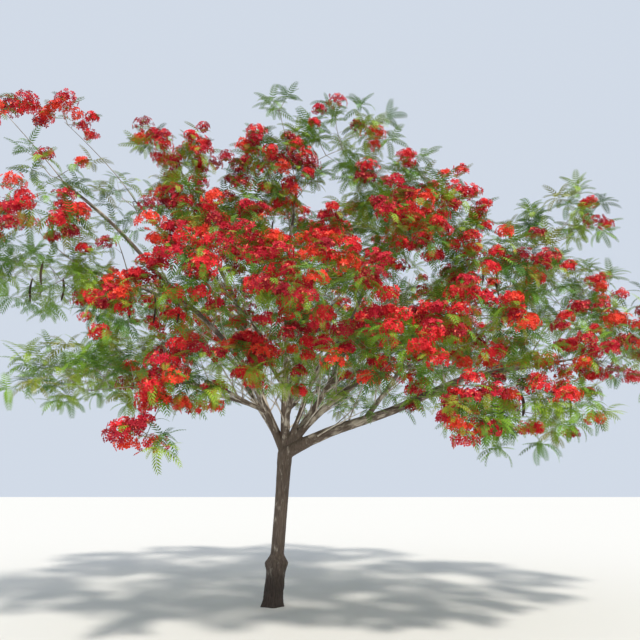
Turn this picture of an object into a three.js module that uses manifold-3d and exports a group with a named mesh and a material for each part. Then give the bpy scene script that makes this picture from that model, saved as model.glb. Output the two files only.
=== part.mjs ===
// A flame tree in flower: a slender leaning trunk with a stout, lumpy foot, boughs that
// rise from one fork and arch outwards, and masses of feathery foliage, scarlet blossom
// and a few dry pods on forking twigs at the boughs' tips.
// Millimetres, +Z up, origin at the centre of the flat cut under the trunk. Headings are
// degrees anticlockwise from +X, seen from above, about the upright line through the fork.

import * as THREE from "three";
import { mergeVertices } from "three/addons/utils/BufferGeometryUtils.js";
import Module from "manifold-3d";

const wasm = await Module();
wasm.setup();

const UP = new THREE.Vector3(0, 0, 1);
const GAP = 0.3; // clearance between solids that meet

// The trunk
const FORK_HEIGHT = 3340;
const TRUNK_LEAN = 250; // how far the fork stands along +X from the foot
const SHAFT_RADIUS = 142;
const FORK_SWELL = 14; // extra radius where the boughs part
const SWELL_FROM = 2000; // heights over which that swelling grows
const SWELL_TO = 3100;
const CLOSE_FROM = 3150; // height above which the trunk draws in to its top
const TOP_RADIUS = 96;
const FOOT_RADIUS = 203; // the stout stool below the collar
const COLLAR_HEIGHT = 850;
const COLLAR_BLEND = 230; // height over which the stool narrows to the shaft
const KNOB_SIZE = 46; // how far the two healed knobs of the collar stand out
const KNOB_HEIGHT = 105; // how far up and down from the collar a knob reaches
const KNOB_HEADINGS = [174, 8];
const ROOT_FLARE = 62; // extra radius of the root lobes at the ground
const FLARE_HEIGHT = 130;
const ROOT_LOBES = 5;
const RING_HEIGHTS = [0, 50, 130, 300, 560, 740, 850, 950, 1080, 1400, 1900, 2400, 2800, 3080, 3240];
const TRUNK_RINGS = [...RING_HEIGHTS, FORK_HEIGHT];
const TRUNK_SIDES = 14;

// Boughs and twigs
const BOUGH_SIDES = 6;
const BOUGH_STEPS = 8;
const BOUGH_TIP_RADIUS = 25;
const BOUGH_WANDER = 0.014; // sideways wander, as a share of the bough's length
const BOUGH_LEAVE = 0.4; // how long a bough keeps the way it leaves, as a share of its length
const BOUGH_ARRIVE = 0.26;
const BOUGH_SETTLE = 0.22; // how much flatter than its chord a bough arrives
const PULL_BACK = 1050; // how far short of its masses a bough ends
const STEM_STEPS = 3;
const STEM_TIP_RADIUS = 13;
const TWIG_SIDES = 3;
const TWIGS_PER_METRE = 3.4; // twigs in a mass for each metre of its radius and half its height
const TWIG_FILL = 0.64; // how far out in its mass a twig ends, as a share of the mass
const GOLDEN_ANGLE = THREE.MathUtils.degToRad(137.508);
const GOLDEN_SHARE = 0.618034;

// A leaf star at a twig's end: feathery leaves that spread from one point and droop a little
const LEAVES_PER_STAR = 5;
const LEAF_LENGTH = 620;
const LEAF_REACH = 0.5; // the most of its mass's radius that a leaf is long
const LEAF_NOTCH = 0.36; // where two leaves part, as a share of their length
const LEAF_DROOP = 0.2; // share of its length
const STAR_THICKNESS = 0.034; // above and below the middle, as a share of a leaf's length
const LEAF_TRIES = [1, 0.85, 0.7, 0.55, 0.4]; // a leaf is shortened until it fits its space

// A head of blossom at a twig's end, domed above and flatter below
const HEAD_SIDES = 7;
const HEAD_RADIUS = 460;
const HEAD_REACH = 0.38; // the most of its mass's radius that its own radius is
const HEAD_TOP = 0.46;
const HEAD_BOTTOM = 0.26;

// A dry pod
const POD_LENGTH = 520;
const POD_WIDTH = 58;
const POD_THICKNESS = 16;

// Space between masses, and between a mass and any wood that isn't its own
const SPACE_MARGIN = 12;
const WOOD_MARGIN = 16;
const SEED = 20711;
const MASS_STRIDE = 977; // from one mass's seed to the next
const END_STRIDE = 104729; // from the seed of one twig's end to the next

const BARK_DARK = 0x4a3f36;
const BARK_PALE = 0x9a8b7a;
const LEAF_GREEN = 0x6f9a34;
const SCARLET = 0xd8241c;

// Every bough: the limb that it leaves, how far up that limb, its foot's radius, and the
// heading and the rise above the level, in degrees, at which it leaves. Thick boughs come
// first, and each stands after the limb that carries it.
const BOUGHS = {
  bough_east: { from: "trunk", at: 0.95, radius: 126, heading: 350, rise: 24 },
  leader: { from: "trunk", at: 0.97, radius: 76, heading: 185, rise: 86 },
  bough_east_high: { from: "trunk", at: 0.97, radius: 84, heading: 345, rise: 46 },
  bough_northwest: { from: "trunk", at: 0.96, radius: 72, heading: 160, rise: 66 },
  bough_north: { from: "trunk", at: 0.95, radius: 76, heading: 85, rise: 60 },
  bough_northeast: { from: "trunk", at: 0.96, radius: 74, heading: 35, rise: 54 },
  bough_west: { from: "trunk", at: 0.93, radius: 72, heading: 200, rise: 68 },
  bough_back_west: { from: "trunk", at: 0.94, radius: 70, heading: 135, rise: 58 },
  bough_inner_east: { from: "trunk", at: 0.98, radius: 58, heading: 330, rise: 62 },
  bough_south: { from: "trunk", at: 0.97, radius: 60, heading: 268, rise: 70 },
  bough_low_west: { from: "bough_west", at: 0.14, radius: 44, heading: 205, rise: 24 },
  bough_west_band: { from: "bough_west", at: 0.5, radius: 40, heading: 205, rise: 22 },
  bough_west_whip: { from: "bough_northwest", at: 0.42, radius: 38, heading: 195, rise: 46 },
  bough_southwest: { from: "bough_south", at: 0.26, radius: 44, heading: 245, rise: 42 },
  bough_southeast: { from: "bough_east", at: 0.3, radius: 58, heading: 320, rise: 48 },
  bough_east_far: { from: "bough_east_high", at: 0.42, radius: 48, heading: 5, rise: 40 },
  bough_east_low: { from: "bough_east", at: 0.5, radius: 50, heading: 318, rise: 10 },
  bough_low_north: { from: "bough_north", at: 0.2, radius: 48, heading: 70, rise: 24 },
  bough_low_back_west: { from: "bough_back_west", at: 0.24, radius: 42, heading: 165, rise: 20 },
  bough_back_east: { from: "bough_northeast", at: 0.34, radius: 46, heading: 15, rise: 34 },
};

// Every mass: its bough, the heading, reach and height of its middle, its radius and half
// its height, the share of its twigs that flower, and how many pods hang in it.
const MASSES = {
  west_high: mass("bough_west", 209, 6300, 9850, 620, 420, 0.95),
  west_mid: mass("bough_west", 211, 5350, 8650, 1000, 600, 0.45),
  west_band: mass("bough_west_band", 217, 5700, 7350, 1150, 500, 0.85),
  west_low: mass("bough_west_band", 202, 5300, 6500, 1500, 900, 0.1, 1),
  west_whip: mass("bough_west_whip", 202, 5100, 10200, 620, 360, 0.95),
  northwest_top: mass("bough_west_whip", 194, 3400, 8600, 1400, 950, 0.3),
  top_left: mass("bough_northwest", 184, 2750, 10300, 1000, 600, 0.95),
  top: mass("leader", 257, 900, 11100, 500, 340, 0.05),
  top_mid: mass("leader", 259, 1850, 9100, 950, 800, 0.75),
  top_right: mass("leader", 333, 1500, 10300, 1150, 800, 0.35),
  middle: mass("bough_south", 298, 3750, 6950, 1250, 900, 0.85),
  front_middle: mass("bough_south", 278, 4950, 5700, 1200, 800, 0.85),
  front_left: mass("bough_southwest", 257, 4400, 6200, 1250, 900, 0.95),
  middle_left: mass("bough_southwest", 244, 3000, 7600, 1100, 800, 0.8),
  middle_low: mass("bough_southwest", 266, 2900, 4750, 800, 650, 0.9),
  southwest_hang: mass("bough_low_west", 250, 4450, 4350, 550, 900, 0.95),
  southwest_tail: mass("bough_low_west", 247, 5000, 3400, 420, 450, 0.95),
  southwest_middle: mass("bough_low_west", 241, 4250, 5650, 1100, 750, 0.75, 1),
  southwest_low: mass("bough_low_west", 215, 4500, 4450, 1350, 850, 0.1),
  northeast_top: mass("bough_inner_east", 341, 2500, 9100, 1150, 750, 0.5),
  east_top: mass("bough_inner_east", 326, 3750, 7700, 1250, 900, 0.5),
  east_middle: mass("bough_east_high", 331, 4950, 6550, 1350, 900, 0.6, 1),
  east_back: mass("bough_east_far", 9, 6850, 6900, 1400, 950, 0.15),
  east_far_top: mass("bough_east_far", 0, 6450, 8550, 1200, 700, 0.15),
  front_right: mass("bough_southeast", 293, 4800, 4700, 950, 700, 0.8),
  east_front: mass("bough_southeast", 311, 5200, 5150, 1200, 800, 0.9),
  east_far: mass("bough_east", 340, 6750, 4900, 1250, 800, 0.75),
  east_edge: mass("bough_east", 358, 7600, 5850, 1350, 900, 0.45),
  southeast_hang: mass("bough_east_low", 306, 5200, 3850, 500, 800, 0.95),
  east_hang: mass("bough_east_low", 327, 5650, 3950, 1300, 750, 0.2, 1),
  back_east_top: mass("bough_northeast", 40, 3250, 9100, 1500, 950, 0.3),
  back_northeast: mass("bough_northeast", 47, 5750, 7300, 1550, 1050, 0.4),
  back_north_top: mass("bough_north", 100, 3150, 9300, 1500, 950, 0.6, 1),
  back_north: mass("bough_north", 78, 5950, 7200, 1550, 1050, 0.5),
  back_east: mass("bough_back_east", 24, 5200, 5550, 1350, 900, 0.3),
  back_north_low: mass("bough_low_north", 78, 5300, 5200, 1500, 950, 0.15),
  back_northwest: mass("bough_back_west", 112, 5800, 7000, 1550, 1050, 0.5),
  back_west: mass("bough_back_west", 146, 5500, 7300, 1550, 1050, 0.45, 1),
  back_west_low: mass("bough_low_back_west", 155, 4900, 5300, 1450, 950, 0.15),
};

function mass(bough, heading, reach, height, spread, depth, bloom, pods = 0) {
  return { bough, heading, reach, height, spread, depth, bloom, pods };
}

// A place given by heading, reach from the fork's upright line and height.
function place({ heading, reach, height }) {
  const angle = THREE.MathUtils.degToRad(heading);
  return new THREE.Vector3(TRUNK_LEAN + reach * Math.cos(angle), reach * Math.sin(angle), height);
}

// The way that a heading and a rise above the level point.
function direction(heading, rise) {
  const polar = THREE.MathUtils.degToRad(90 - rise);
  const angle = THREE.MathUtils.degToRad(heading);
  return new THREE.Vector3(Math.cos(angle), Math.sin(angle), 0)
    .multiplyScalar(Math.sin(polar))
    .setZ(Math.cos(polar));
}

// A stream of repeatable random numbers from 0 to 1.
function draws(seed) {
  let state = seed >>> 0;
  return () => {
    state = (Math.imul(state, 1664525) + 1013904223) >>> 0;
    return state / 4294967296;
  };
}

function smooth(low, high, x) {
  const t = THREE.MathUtils.clamp((x - low) / (high - low), 0, 1);
  return t * t * (3 - 2 * t);
}

// A closed surface as a solid that can be joined and cut.
function solidOf(geometry) {
  geometry.deleteAttribute("normal");
  geometry.deleteAttribute("uv");
  const merged = mergeVertices(geometry, 1e-3);
  const vertProperties = new Float32Array(merged.attributes.position.array);
  const triVerts = new Uint32Array(merged.index.array);
  return new wasm.Manifold(new wasm.Mesh({ numProp: 3, vertProperties, triVerts }));
}

// The largest body of a solid. Loose scraps and the walls of sealed hollows are dropped.
function mainBody(solid) {
  return solid.decompose().reduce((best, body) => (body.volume() > best.volume() ? body : best));
}

function geometryOf(solid) {
  const mesh = solid.getMesh();
  const positions = new Float32Array(mesh.numVert * 3);
  for (let i = 0; i < mesh.numVert; i++) {
    positions.set(mesh.vertProperties.subarray(i * mesh.numProp, i * mesh.numProp + 3), i * 3);
  }
  const geometry = new THREE.BufferGeometry();
  geometry.setAttribute("position", new THREE.BufferAttribute(positions, 3));
  geometry.setIndex(new THREE.BufferAttribute(new Uint32Array(mesh.triVerts), 1));
  geometry.computeVertexNormals();
  return geometry;
}

// A unit cylinder whose rings are laid along a line of points, each with its own radius.
// The frame is carried from ring to ring without twisting. A last radius of nothing ends
// it in a point.
function taperedTube(points, radii, sides) {
  const steps = points.length - 1;
  const tangents = points.map((p, i) => {
    const ahead = points[Math.min(i + 1, steps)];
    const behind = points[Math.max(i - 1, 0)];
    return ahead.clone().sub(behind).normalize();
  });
  const across = [];
  let normal = new THREE.Vector3(1, 0, 0);
  if (Math.abs(tangents[0].x) > 0.9) normal = new THREE.Vector3(0, 1, 0);
  for (const tangent of tangents) {
    normal = normal.clone().addScaledVector(tangent, -normal.dot(tangent)).normalize();
    across.push([normal, tangent.clone().cross(normal)]);
  }
  const geometry = new THREE.CylinderGeometry(radii[steps] > 0 ? 1 : 0, 1, 1, sides, steps);
  const position = geometry.attributes.position;
  for (let i = 0; i < position.count; i++) {
    const ring = Math.round((position.getY(i) + 0.5) * steps);
    const [n, b] = across[ring];
    const placed = points[ring]
      .clone()
      .addScaledVector(n, position.getX(i) * radii[ring])
      .addScaledVector(b, -position.getZ(i) * radii[ring]);
    position.setXYZ(i, placed.x, placed.y, placed.z);
  }
  return solidOf(geometry);
}

// The upright line that the trunk follows: it leans along +X and straightens as it rises.
function trunkLine(z) {
  return new THREE.Vector3(TRUNK_LEAN * Math.pow(Math.max(z, 0) / FORK_HEIGHT, 0.8), 0, z);
}

// The trunk's radius at a height and heading: shaft, stool, collar knobs and root lobes.
function trunkRadius(z, angle) {
  const stool = 1 - smooth(COLLAR_HEIGHT, COLLAR_HEIGHT + COLLAR_BLEND, z);
  const swell = FORK_SWELL * smooth(SWELL_FROM, SWELL_TO, z);
  const close = (SHAFT_RADIUS + FORK_SWELL - TOP_RADIUS) * smooth(CLOSE_FROM, FORK_HEIGHT, z);
  let radius = SHAFT_RADIUS + (FOOT_RADIUS - SHAFT_RADIUS) * stool + swell - close;
  radius += ROOT_FLARE * Math.exp(-z / FLARE_HEIGHT) * (0.6 + 0.4 * Math.cos(ROOT_LOBES * angle + 0.7));
  for (const heading of KNOB_HEADINGS) {
    const turn = Math.cos(angle - THREE.MathUtils.degToRad(heading));
    const rise = (z - COLLAR_HEIGHT) / KNOB_HEIGHT;
    radius += KNOB_SIZE * Math.exp(-rise * rise) * Math.pow(Math.max(turn, 0), 4);
  }
  return radius;
}

function trunkSolid(extra) {
  const steps = TRUNK_RINGS.length - 1;
  const geometry = new THREE.CylinderGeometry(1, 1, 1, TRUNK_SIDES, steps);
  const position = geometry.attributes.position;
  for (let i = 0; i < position.count; i++) {
    const ring = Math.round((position.getY(i) + 0.5) * steps);
    const z = TRUNK_RINGS[ring];
    const x = position.getX(i);
    const y = -position.getZ(i);
    const radius = trunkRadius(z, Math.atan2(y, x)) + extra;
    const axis = trunkLine(z);
    const height = ring === steps ? z + extra : z;
    position.setXYZ(i, axis.x + radius * x, axis.y + radius * y, height);
  }
  return solidOf(geometry);
}

// A bough's centre line: a cubic curve that leaves steeply and flattens out, with a slow
// sideways wander that dies away at both ends.
class BoughLine extends THREE.Curve {
  constructor(foot, tip, leave, arrive, phase) {
    super();
    const length = foot.distanceTo(tip);
    this.spine = new THREE.CubicBezierCurve3(
      foot,
      foot.clone().addScaledVector(leave, BOUGH_LEAVE * length),
      tip.clone().addScaledVector(arrive, -BOUGH_ARRIVE * length),
      tip,
    );
    const chord = tip.clone().sub(foot).normalize();
    this.side = chord.clone().cross(UP).normalize();
    this.lift = this.side.clone().cross(chord);
    this.reach = BOUGH_WANDER * length;
    this.phase = phase;
  }

  getPoint(t, target = new THREE.Vector3()) {
    const fade = Math.sin(Math.PI * t) * this.reach;
    const turn = 2 * Math.PI * (1.3 * t + this.phase);
    return target
      .copy(this.spine.getPoint(t))
      .addScaledVector(this.side, fade * Math.sin(turn))
      .addScaledVector(this.lift, fade * Math.cos(1.2 * turn));
  }
}

// Where a limb's line is at a share of its length, and which way it runs there.
function onLimb(limb, share) {
  const at = share * (limb.points.length - 1);
  const index = Math.min(Math.floor(at), limb.points.length - 2);
  const point = limb.points[index].clone().lerp(limb.points[index + 1], at - index);
  const along = limb.points[index + 1].clone().sub(limb.points[index]).normalize();
  return { point, along };
}

// A bough's radius at a share of its length: a swollen foot, then a steady taper.
function boughRadius(foot, share) {
  const taper = BOUGH_TIP_RADIUS + (foot - BOUGH_TIP_RADIUS) * Math.pow(1 - share, 0.85);
  return taper + 0.22 * foot * Math.exp(-share / 0.035);
}

// Shape of every limb, as points and radii. Boughs end short of the masses they carry.
function layLimbs() {
  const limbs = {
    trunk: { points: TRUNK_RINGS.map(trunkLine), radii: TRUNK_RINGS.map((z) => trunkRadius(z, 0.5)) },
  };
  Object.entries(BOUGHS).forEach(([name, bough], index) => {
    const onTrunk = bough.from === "trunk";
    const start = onTrunk ? trunkLine(bough.at * FORK_HEIGHT) : onLimb(limbs[bough.from], bough.at).point;
    const carried = Object.keys(MASSES).filter((key) => MASSES[key].bough === name);
    const middle = new THREE.Vector3();
    for (const key of carried) middle.addScaledVector(place(MASSES[key]), 1 / carried.length);
    const chord = middle.clone().sub(start);
    const pull = carried.length === 1 ? 0.8 * MASSES[carried[0]].spread : PULL_BACK;
    const tip = middle.clone().addScaledVector(chord.clone().normalize(), -pull);
    chord.copy(tip).sub(start).normalize();
    const leave = direction(bough.heading, bough.rise);
    const arrive = chord.clone().addScaledVector(UP, -BOUGH_SETTLE).normalize();
    const line = new BoughLine(start, tip, leave, arrive, 0.37 * index);
    const points = line.getSpacedPoints(BOUGH_STEPS);
    const radii = points.map((p, i) => boughRadius(bough.radius, i / BOUGH_STEPS));
    limbs[name] = { points, radii, from: bough.from, carried };
  });
  return limbs;
}

// A limb's solid, or the same solid grown by the clearance that its neighbours keep.
function limbSolid(limb, extra) {
  const points = limb.points.map((p) => p.clone());
  const last = points.length - 1;
  const end = points[last].clone().sub(points[last - 1]).normalize();
  points[last].addScaledVector(end, extra);
  return taperedTube(points, limb.radii.map((r) => r + extra), BOUGH_SIDES);
}

// The stems that run on from a bough's tip, one into each of its masses. Stems that share
// a tip start side by side, each on the side of its own mass.
function layStems(limbs) {
  const stems = {};
  for (const limb of Object.values(limbs)) {
    if (!limb.carried) continue;
    const { point: tip, along } = onLimb(limb, 1);
    const alone = limb.carried.length === 1;
    for (const name of limb.carried) {
      const mass = MASSES[name];
      const heart = place(mass).addScaledVector(UP, -0.25 * mass.depth);
      const aside = heart.clone().sub(tip);
      aside.addScaledVector(along, -aside.dot(along)).normalize();
      const radius = BOUGH_TIP_RADIUS * (alone ? 0.8 : 0.47);
      const foot = tip.clone().addScaledVector(along, GAP);
      if (!alone) foot.addScaledVector(aside, BOUGH_TIP_RADIUS * 0.52);
      const length = foot.distanceTo(heart);
      const bend = foot.clone().addScaledVector(along, 0.35 * length);
      if (!alone) bend.addScaledVector(aside, 0.12 * length);
      const line = new THREE.QuadraticBezierCurve3(foot, bend, heart);
      const points = line.getSpacedPoints(STEM_STEPS);
      const radii = points.map((p, i) => THREE.MathUtils.lerp(radius, STEM_TIP_RADIUS, i / STEM_STEPS));
      stems[name] = { points, radii };
    }
  }
  return stems;
}

function distanceToSegment(point, a, b) {
  const line = new THREE.Line3(a, b);
  return line.closestPointToPoint(point, true, new THREE.Vector3()).distanceTo(point);
}

// Says whether a piece, taken as a rounded bar from one point to another, is clear of all
// the wood that isn't its own.
function clearOfWood(from, to, radius, wood) {
  const count = Math.max(2, Math.ceil(from.distanceTo(to) / 90));
  for (let i = 0; i <= count; i++) {
    const point = from.clone().lerp(to, i / count);
    for (const limb of wood) {
      for (let k = 0; k < limb.points.length - 1; k++) {
        const away = distanceToSegment(point, limb.points[k], limb.points[k + 1]);
        if (away < Math.max(limb.radii[k], limb.radii[k + 1]) + radius + WOOD_MARGIN) return false;
      }
    }
  }
  return true;
}

// The flat walls between one mass and each other mass, set back by the margin.
function wallsOf(name) {
  const own = MASSES[name];
  const middle = place(own);
  const walls = [];
  for (const [other, mass] of Object.entries(MASSES)) {
    if (other === name) continue;
    const towards = place(mass).sub(middle);
    const apart = towards.length();
    const share = own.spread / (own.spread + mass.spread);
    towards.normalize();
    walls.push({ towards, limit: towards.dot(middle) + apart * share - SPACE_MARGIN });
  }
  return walls;
}

function insideWalls(points, walls) {
  return points.every((p) => walls.every((wall) => wall.towards.dot(p) < wall.limit));
}

function cornersOf(geometry) {
  const position = geometry.attributes.position;
  const indices = Array.from({ length: position.count }, (_, i) => i);
  return indices.map((i) => new THREE.Vector3().fromBufferAttribute(position, i));
}

// One mass: twigs that branch from its stem to points spread through its space, each with
// a star of leaves or a head of blossom at its end where one fits.
function growMass(name, stem, wood) {
  const mass = MASSES[name];
  const seed = SEED + MASS_STRIDE * Object.keys(MASSES).indexOf(name);
  const draw = draws(seed);
  const space = { middle: place(mass), spread: mass.spread, walls: wallsOf(name), wood };
  const grown = [stem];
  const pieces = [taperedTube(stem.points, stem.radii, TWIG_SIDES)];
  const turn = 2 * Math.PI * draw();
  const first = draw();
  const count = Math.round((TWIGS_PER_METRE * (mass.spread + mass.depth)) / 1000);
  for (let k = 0; k < count; k++) {
    const lift = 0.85 - (1.35 * (k + 0.5)) / count;
    const angle = turn + k * GOLDEN_ANGLE;
    const out = mass.spread * Math.sqrt(1 - lift * lift);
    const towards = new THREE.Vector3(out * Math.cos(angle), out * Math.sin(angle), mass.depth * lift);
    const target = space.middle.clone().addScaledVector(towards, TWIG_FILL + 0.16 * (draw() - 0.5));
    const flowers = (first + k * GOLDEN_SHARE) % 1 < mass.bloom;
    const twig = branchTo(target, grown, space);
    if (!twig) continue;
    grown.push(twig);
    pieces.push(taperedTube(twig.points, twig.radii, TWIG_SIDES));
    const own = draws(seed + END_STRIDE * (k + 1));
    const end = flowers ? blossomHead(target, own, space) : leafStar(target, own, space);
    if (end) pieces.push(end);
  }
  for (let k = 0; k < mass.pods; k++) {
    const fruit = pod(grown[1 + k], space);
    if (fruit) pieces.push(fruit);
  }
  return pieces;
}

// A twig to a target from the nearest wood of its own mass, or nothing where other wood
// is in the way or that wood lies outside the mass's space.
function branchTo(target, grown, space) {
  let best = null;
  for (const host of grown) {
    for (const share of host === grown[0] ? [0.5, 0.66, 0.82, 0.96] : [0.3, 0.5]) {
      const { point } = onLimb(host, share);
      const distance = point.distanceTo(target);
      if (distance < 160 || !insideWalls([point], space.walls)) continue;
      const radius = THREE.MathUtils.lerp(host.radii[0], host.radii[host.radii.length - 1], share);
      if (!best || distance < best.distance) best = { point, distance, radius };
    }
  }
  if (!best || !insideWalls([target], space.walls)) return null;
  const foot = 0.7 * best.radius;
  if (!clearOfWood(best.point, target, foot, space.wood)) return null;
  return { points: [best.point, target], radii: [foot, 0] };
}

// A flat star of pointed leaves, a bipyramid whose rim runs in and out. Each leaf is as
// long as its space lets it be, and a star with a leaf that doesn't fit at all is left out.
function leafStar(centre, draw, space) {
  const length = Math.min(LEAF_LENGTH, LEAF_REACH * space.spread);
  const turn = 2 * Math.PI * draw();
  const rim = [];
  for (let k = 0; k < LEAVES_PER_STAR; k++) {
    const angle = turn + (2 * Math.PI * (k + 0.3 * (draw() - 0.5))) / LEAVES_PER_STAR;
    const droop = -LEAF_DROOP * (0.3 + 1.4 * draw());
    const towards = new THREE.Vector3(Math.cos(angle), Math.sin(angle), droop);
    const full = length * (0.85 + 0.3 * draw());
    const share = LEAF_TRIES.find((size) => leafFits(centre, towards, size * full, space));
    if (!share) return null;
    rim.push(towards.multiplyScalar(share * full));
  }
  const geometry = new THREE.SphereGeometry(1, 2 * LEAVES_PER_STAR, 2);
  shapeRim(geometry, STAR_THICKNESS * length, STAR_THICKNESS * length, (side) => {
    const leaf = rim[Math.floor(side / 2)];
    if (side % 2 === 0) return leaf;
    const next = rim[(Math.floor(side / 2) + 1) % LEAVES_PER_STAR];
    return leaf.clone().add(next).setLength((LEAF_NOTCH * (leaf.length() + next.length())) / 2);
  });
  geometry.translate(centre.x, centre.y, centre.z);
  return solidOf(geometry);
}

function leafFits(centre, towards, length, space) {
  const tip = centre.clone().addScaledVector(towards, length);
  const side = UP.clone().cross(towards).setLength(0.2 * length);
  const shoulder = centre.clone().addScaledVector(towards, 0.3 * length);
  const edges = [shoulder.clone().add(side), shoulder.clone().sub(side), centre];
  if (!insideWalls([tip, ...edges], space.walls)) return false;
  return edges.every((edge) => clearOfWood(edge, tip, 0, space.wood));
}

// A rounded head of blossom, or nothing where even a small one doesn't fit.
function blossomHead(centre, draw, space) {
  const geometry = new THREE.SphereGeometry(1, HEAD_SIDES, 2);
  const turn = 2 * Math.PI * draw();
  const rim = [];
  for (let side = 0; side < HEAD_SIDES; side++) {
    const angle = turn + (2 * Math.PI * side) / HEAD_SIDES;
    const reach = 0.8 + 0.4 * draw();
    rim.push(new THREE.Vector3(reach * Math.cos(angle), reach * Math.sin(angle), 0.3 * (draw() - 0.5)));
  }
  shapeRim(geometry, HEAD_TOP, HEAD_BOTTOM, (side) => rim[side]);
  for (const size of LEAF_TRIES) {
    const radius = size * Math.min(HEAD_RADIUS, HEAD_REACH * space.spread);
    const head = geometry.clone().scale(radius, radius, radius).translate(centre.x, centre.y, centre.z);
    if (!insideWalls(cornersOf(head), space.walls)) continue;
    if (clearOfWood(centre, centre, 1.1 * radius, space.wood)) return solidOf(head);
  }
  return null;
}

// Moves a two-row sphere's corners: its poles to a top and a bottom on +Z, and its middle
// row to the places that a rule gives for each side in turn, anticlockwise from above.
function shapeRim(geometry, top, bottom, rule) {
  const sides = geometry.parameters.widthSegments;
  const position = geometry.attributes.position;
  for (let i = 0; i < position.count; i++) {
    const row = Math.floor(i / (sides + 1));
    const pole = new THREE.Vector3(0, 0, row === 0 ? top : -bottom);
    const corner = row === 1 ? rule((i % (sides + 1)) % sides) : pole;
    position.setXYZ(i, corner.x, corner.y, corner.z);
  }
}

// A long flat pod that hangs from the middle of a twig.
function pod(twig, space) {
  if (!twig) return null;
  const root = onLimb(twig, 0.5).point.addScaledVector(UP, 0.04 * POD_LENGTH);
  const tip = root.clone().addScaledVector(UP, -POD_LENGTH);
  const geometry = new THREE.OctahedronGeometry(1, 0);
  geometry.scale(POD_WIDTH / 2, POD_THICKNESS / 2, POD_LENGTH / 2);
  geometry.translate(root.x, root.y, (root.z + tip.z) / 2);
  if (!insideWalls(cornersOf(geometry), space.walls)) return null;
  return clearOfWood(root, tip, POD_WIDTH / 2, space.wood) ? solidOf(geometry) : null;
}

const limbs = layLimbs();
const stems = layStems(limbs);
const tree = new THREE.Group();
tree.name = "flame_tree";

function addNode(name, solid, colour) {
  const material = new THREE.MeshStandardMaterial({ color: colour, roughness: 0.85, metalness: 0 });
  const mesh = new THREE.Mesh(geometryOf(mainBody(solid)), material);
  mesh.name = name;
  tree.add(mesh);
}

addNode("trunk", trunkSolid(0), BARK_DARK);

// Each bough is cut clear of the trunk and of the boughs laid before it.
const cutters = { trunk: trunkSolid(GAP) };
for (const name of Object.keys(BOUGHS)) {
  let solid = limbSolid(limbs[name], 0);
  for (const cutter of Object.values(cutters)) solid = solid.subtract(cutter);
  cutters[name] = limbSolid(limbs[name], GAP);
  addNode(name, solid, BARK_PALE);
}

// Each mass is fused from its pieces and cut clear of its bough and of its sisters' stems.
for (const [name, mass] of Object.entries(MASSES)) {
  const others = Object.keys(MASSES).filter((other) => other !== name);
  const wood = [...Object.values(limbs), ...others.map((other) => stems[other])];
  const [first, ...rest] = growMass(name, stems[name], wood);
  let solid = first;
  for (const piece of rest) solid = solid.add(piece);
  solid = solid.subtract(cutters[mass.bough]);
  for (const sister of others.filter((other) => MASSES[other].bough === mass.bough)) {
    const { points, radii } = stems[sister];
    const grown = radii.map((radius) => radius + GAP);
    if (sister < name) solid = solid.subtract(taperedTube(points, grown, TWIG_SIDES));
  }
  addNode("mass_" + name, solid, mass.bloom > 0.5 ? SCARLET : LEAF_GREEN);
}

export default tree;
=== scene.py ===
# %% [markdown]
# # A flame tree in flower
# A flame tree is a slender trunk under a crown that is wider than the tree is tall. Its
# boughs leave one fork, arch outwards and carry their foliage near their ends, so the middle
# of the crown stays open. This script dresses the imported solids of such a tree: bark with
# relief in place of the trunk and boughs, and twigs, feathery leaves, blossom and pods in
# place of the masses. Everything is in metres with +Z up, and the origin is the centre of
# the flat cut under the trunk.

# %% The frame
import math

import bpy
import numpy as np
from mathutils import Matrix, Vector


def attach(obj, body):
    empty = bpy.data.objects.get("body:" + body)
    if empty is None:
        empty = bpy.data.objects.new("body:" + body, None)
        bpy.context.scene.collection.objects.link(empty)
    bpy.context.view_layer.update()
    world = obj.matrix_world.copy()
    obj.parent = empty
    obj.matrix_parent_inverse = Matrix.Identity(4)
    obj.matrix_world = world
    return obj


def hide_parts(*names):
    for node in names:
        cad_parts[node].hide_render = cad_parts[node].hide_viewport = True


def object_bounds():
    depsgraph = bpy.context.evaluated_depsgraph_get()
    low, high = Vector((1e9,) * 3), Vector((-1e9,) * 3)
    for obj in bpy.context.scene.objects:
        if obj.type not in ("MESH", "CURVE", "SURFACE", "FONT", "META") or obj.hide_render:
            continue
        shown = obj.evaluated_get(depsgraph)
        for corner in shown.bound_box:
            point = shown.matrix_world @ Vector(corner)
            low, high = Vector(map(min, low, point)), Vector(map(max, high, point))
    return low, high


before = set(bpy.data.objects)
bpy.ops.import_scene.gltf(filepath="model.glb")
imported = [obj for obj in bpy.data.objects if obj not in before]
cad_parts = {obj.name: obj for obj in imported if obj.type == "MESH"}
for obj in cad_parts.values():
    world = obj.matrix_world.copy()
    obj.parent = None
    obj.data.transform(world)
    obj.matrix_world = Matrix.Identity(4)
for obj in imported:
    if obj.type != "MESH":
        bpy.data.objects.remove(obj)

cad_low, cad_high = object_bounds()
print("solids from", [round(v, 2) for v in cad_low], "to", [round(v, 2) for v in cad_high])

# %% [markdown]
# ## Where the viewer stands
# The tree was seen from 15.5 m away by someone whose eyes are 2.8 m above its foot, looking
# up by 12 degrees. A camera could be aimed with a constraint, but a plain turn about X keeps
# the upright lines of the picture exactly as they lean in the photograph.

# %% The camera
VIEW_PLACE = (1.013, -15.5, 2.8)
VIEW_TILT = math.atan(150 / 690)
FOCAL_PIXELS = 690
PICTURE_PIXELS = 640
SENSOR = 36.0

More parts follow.
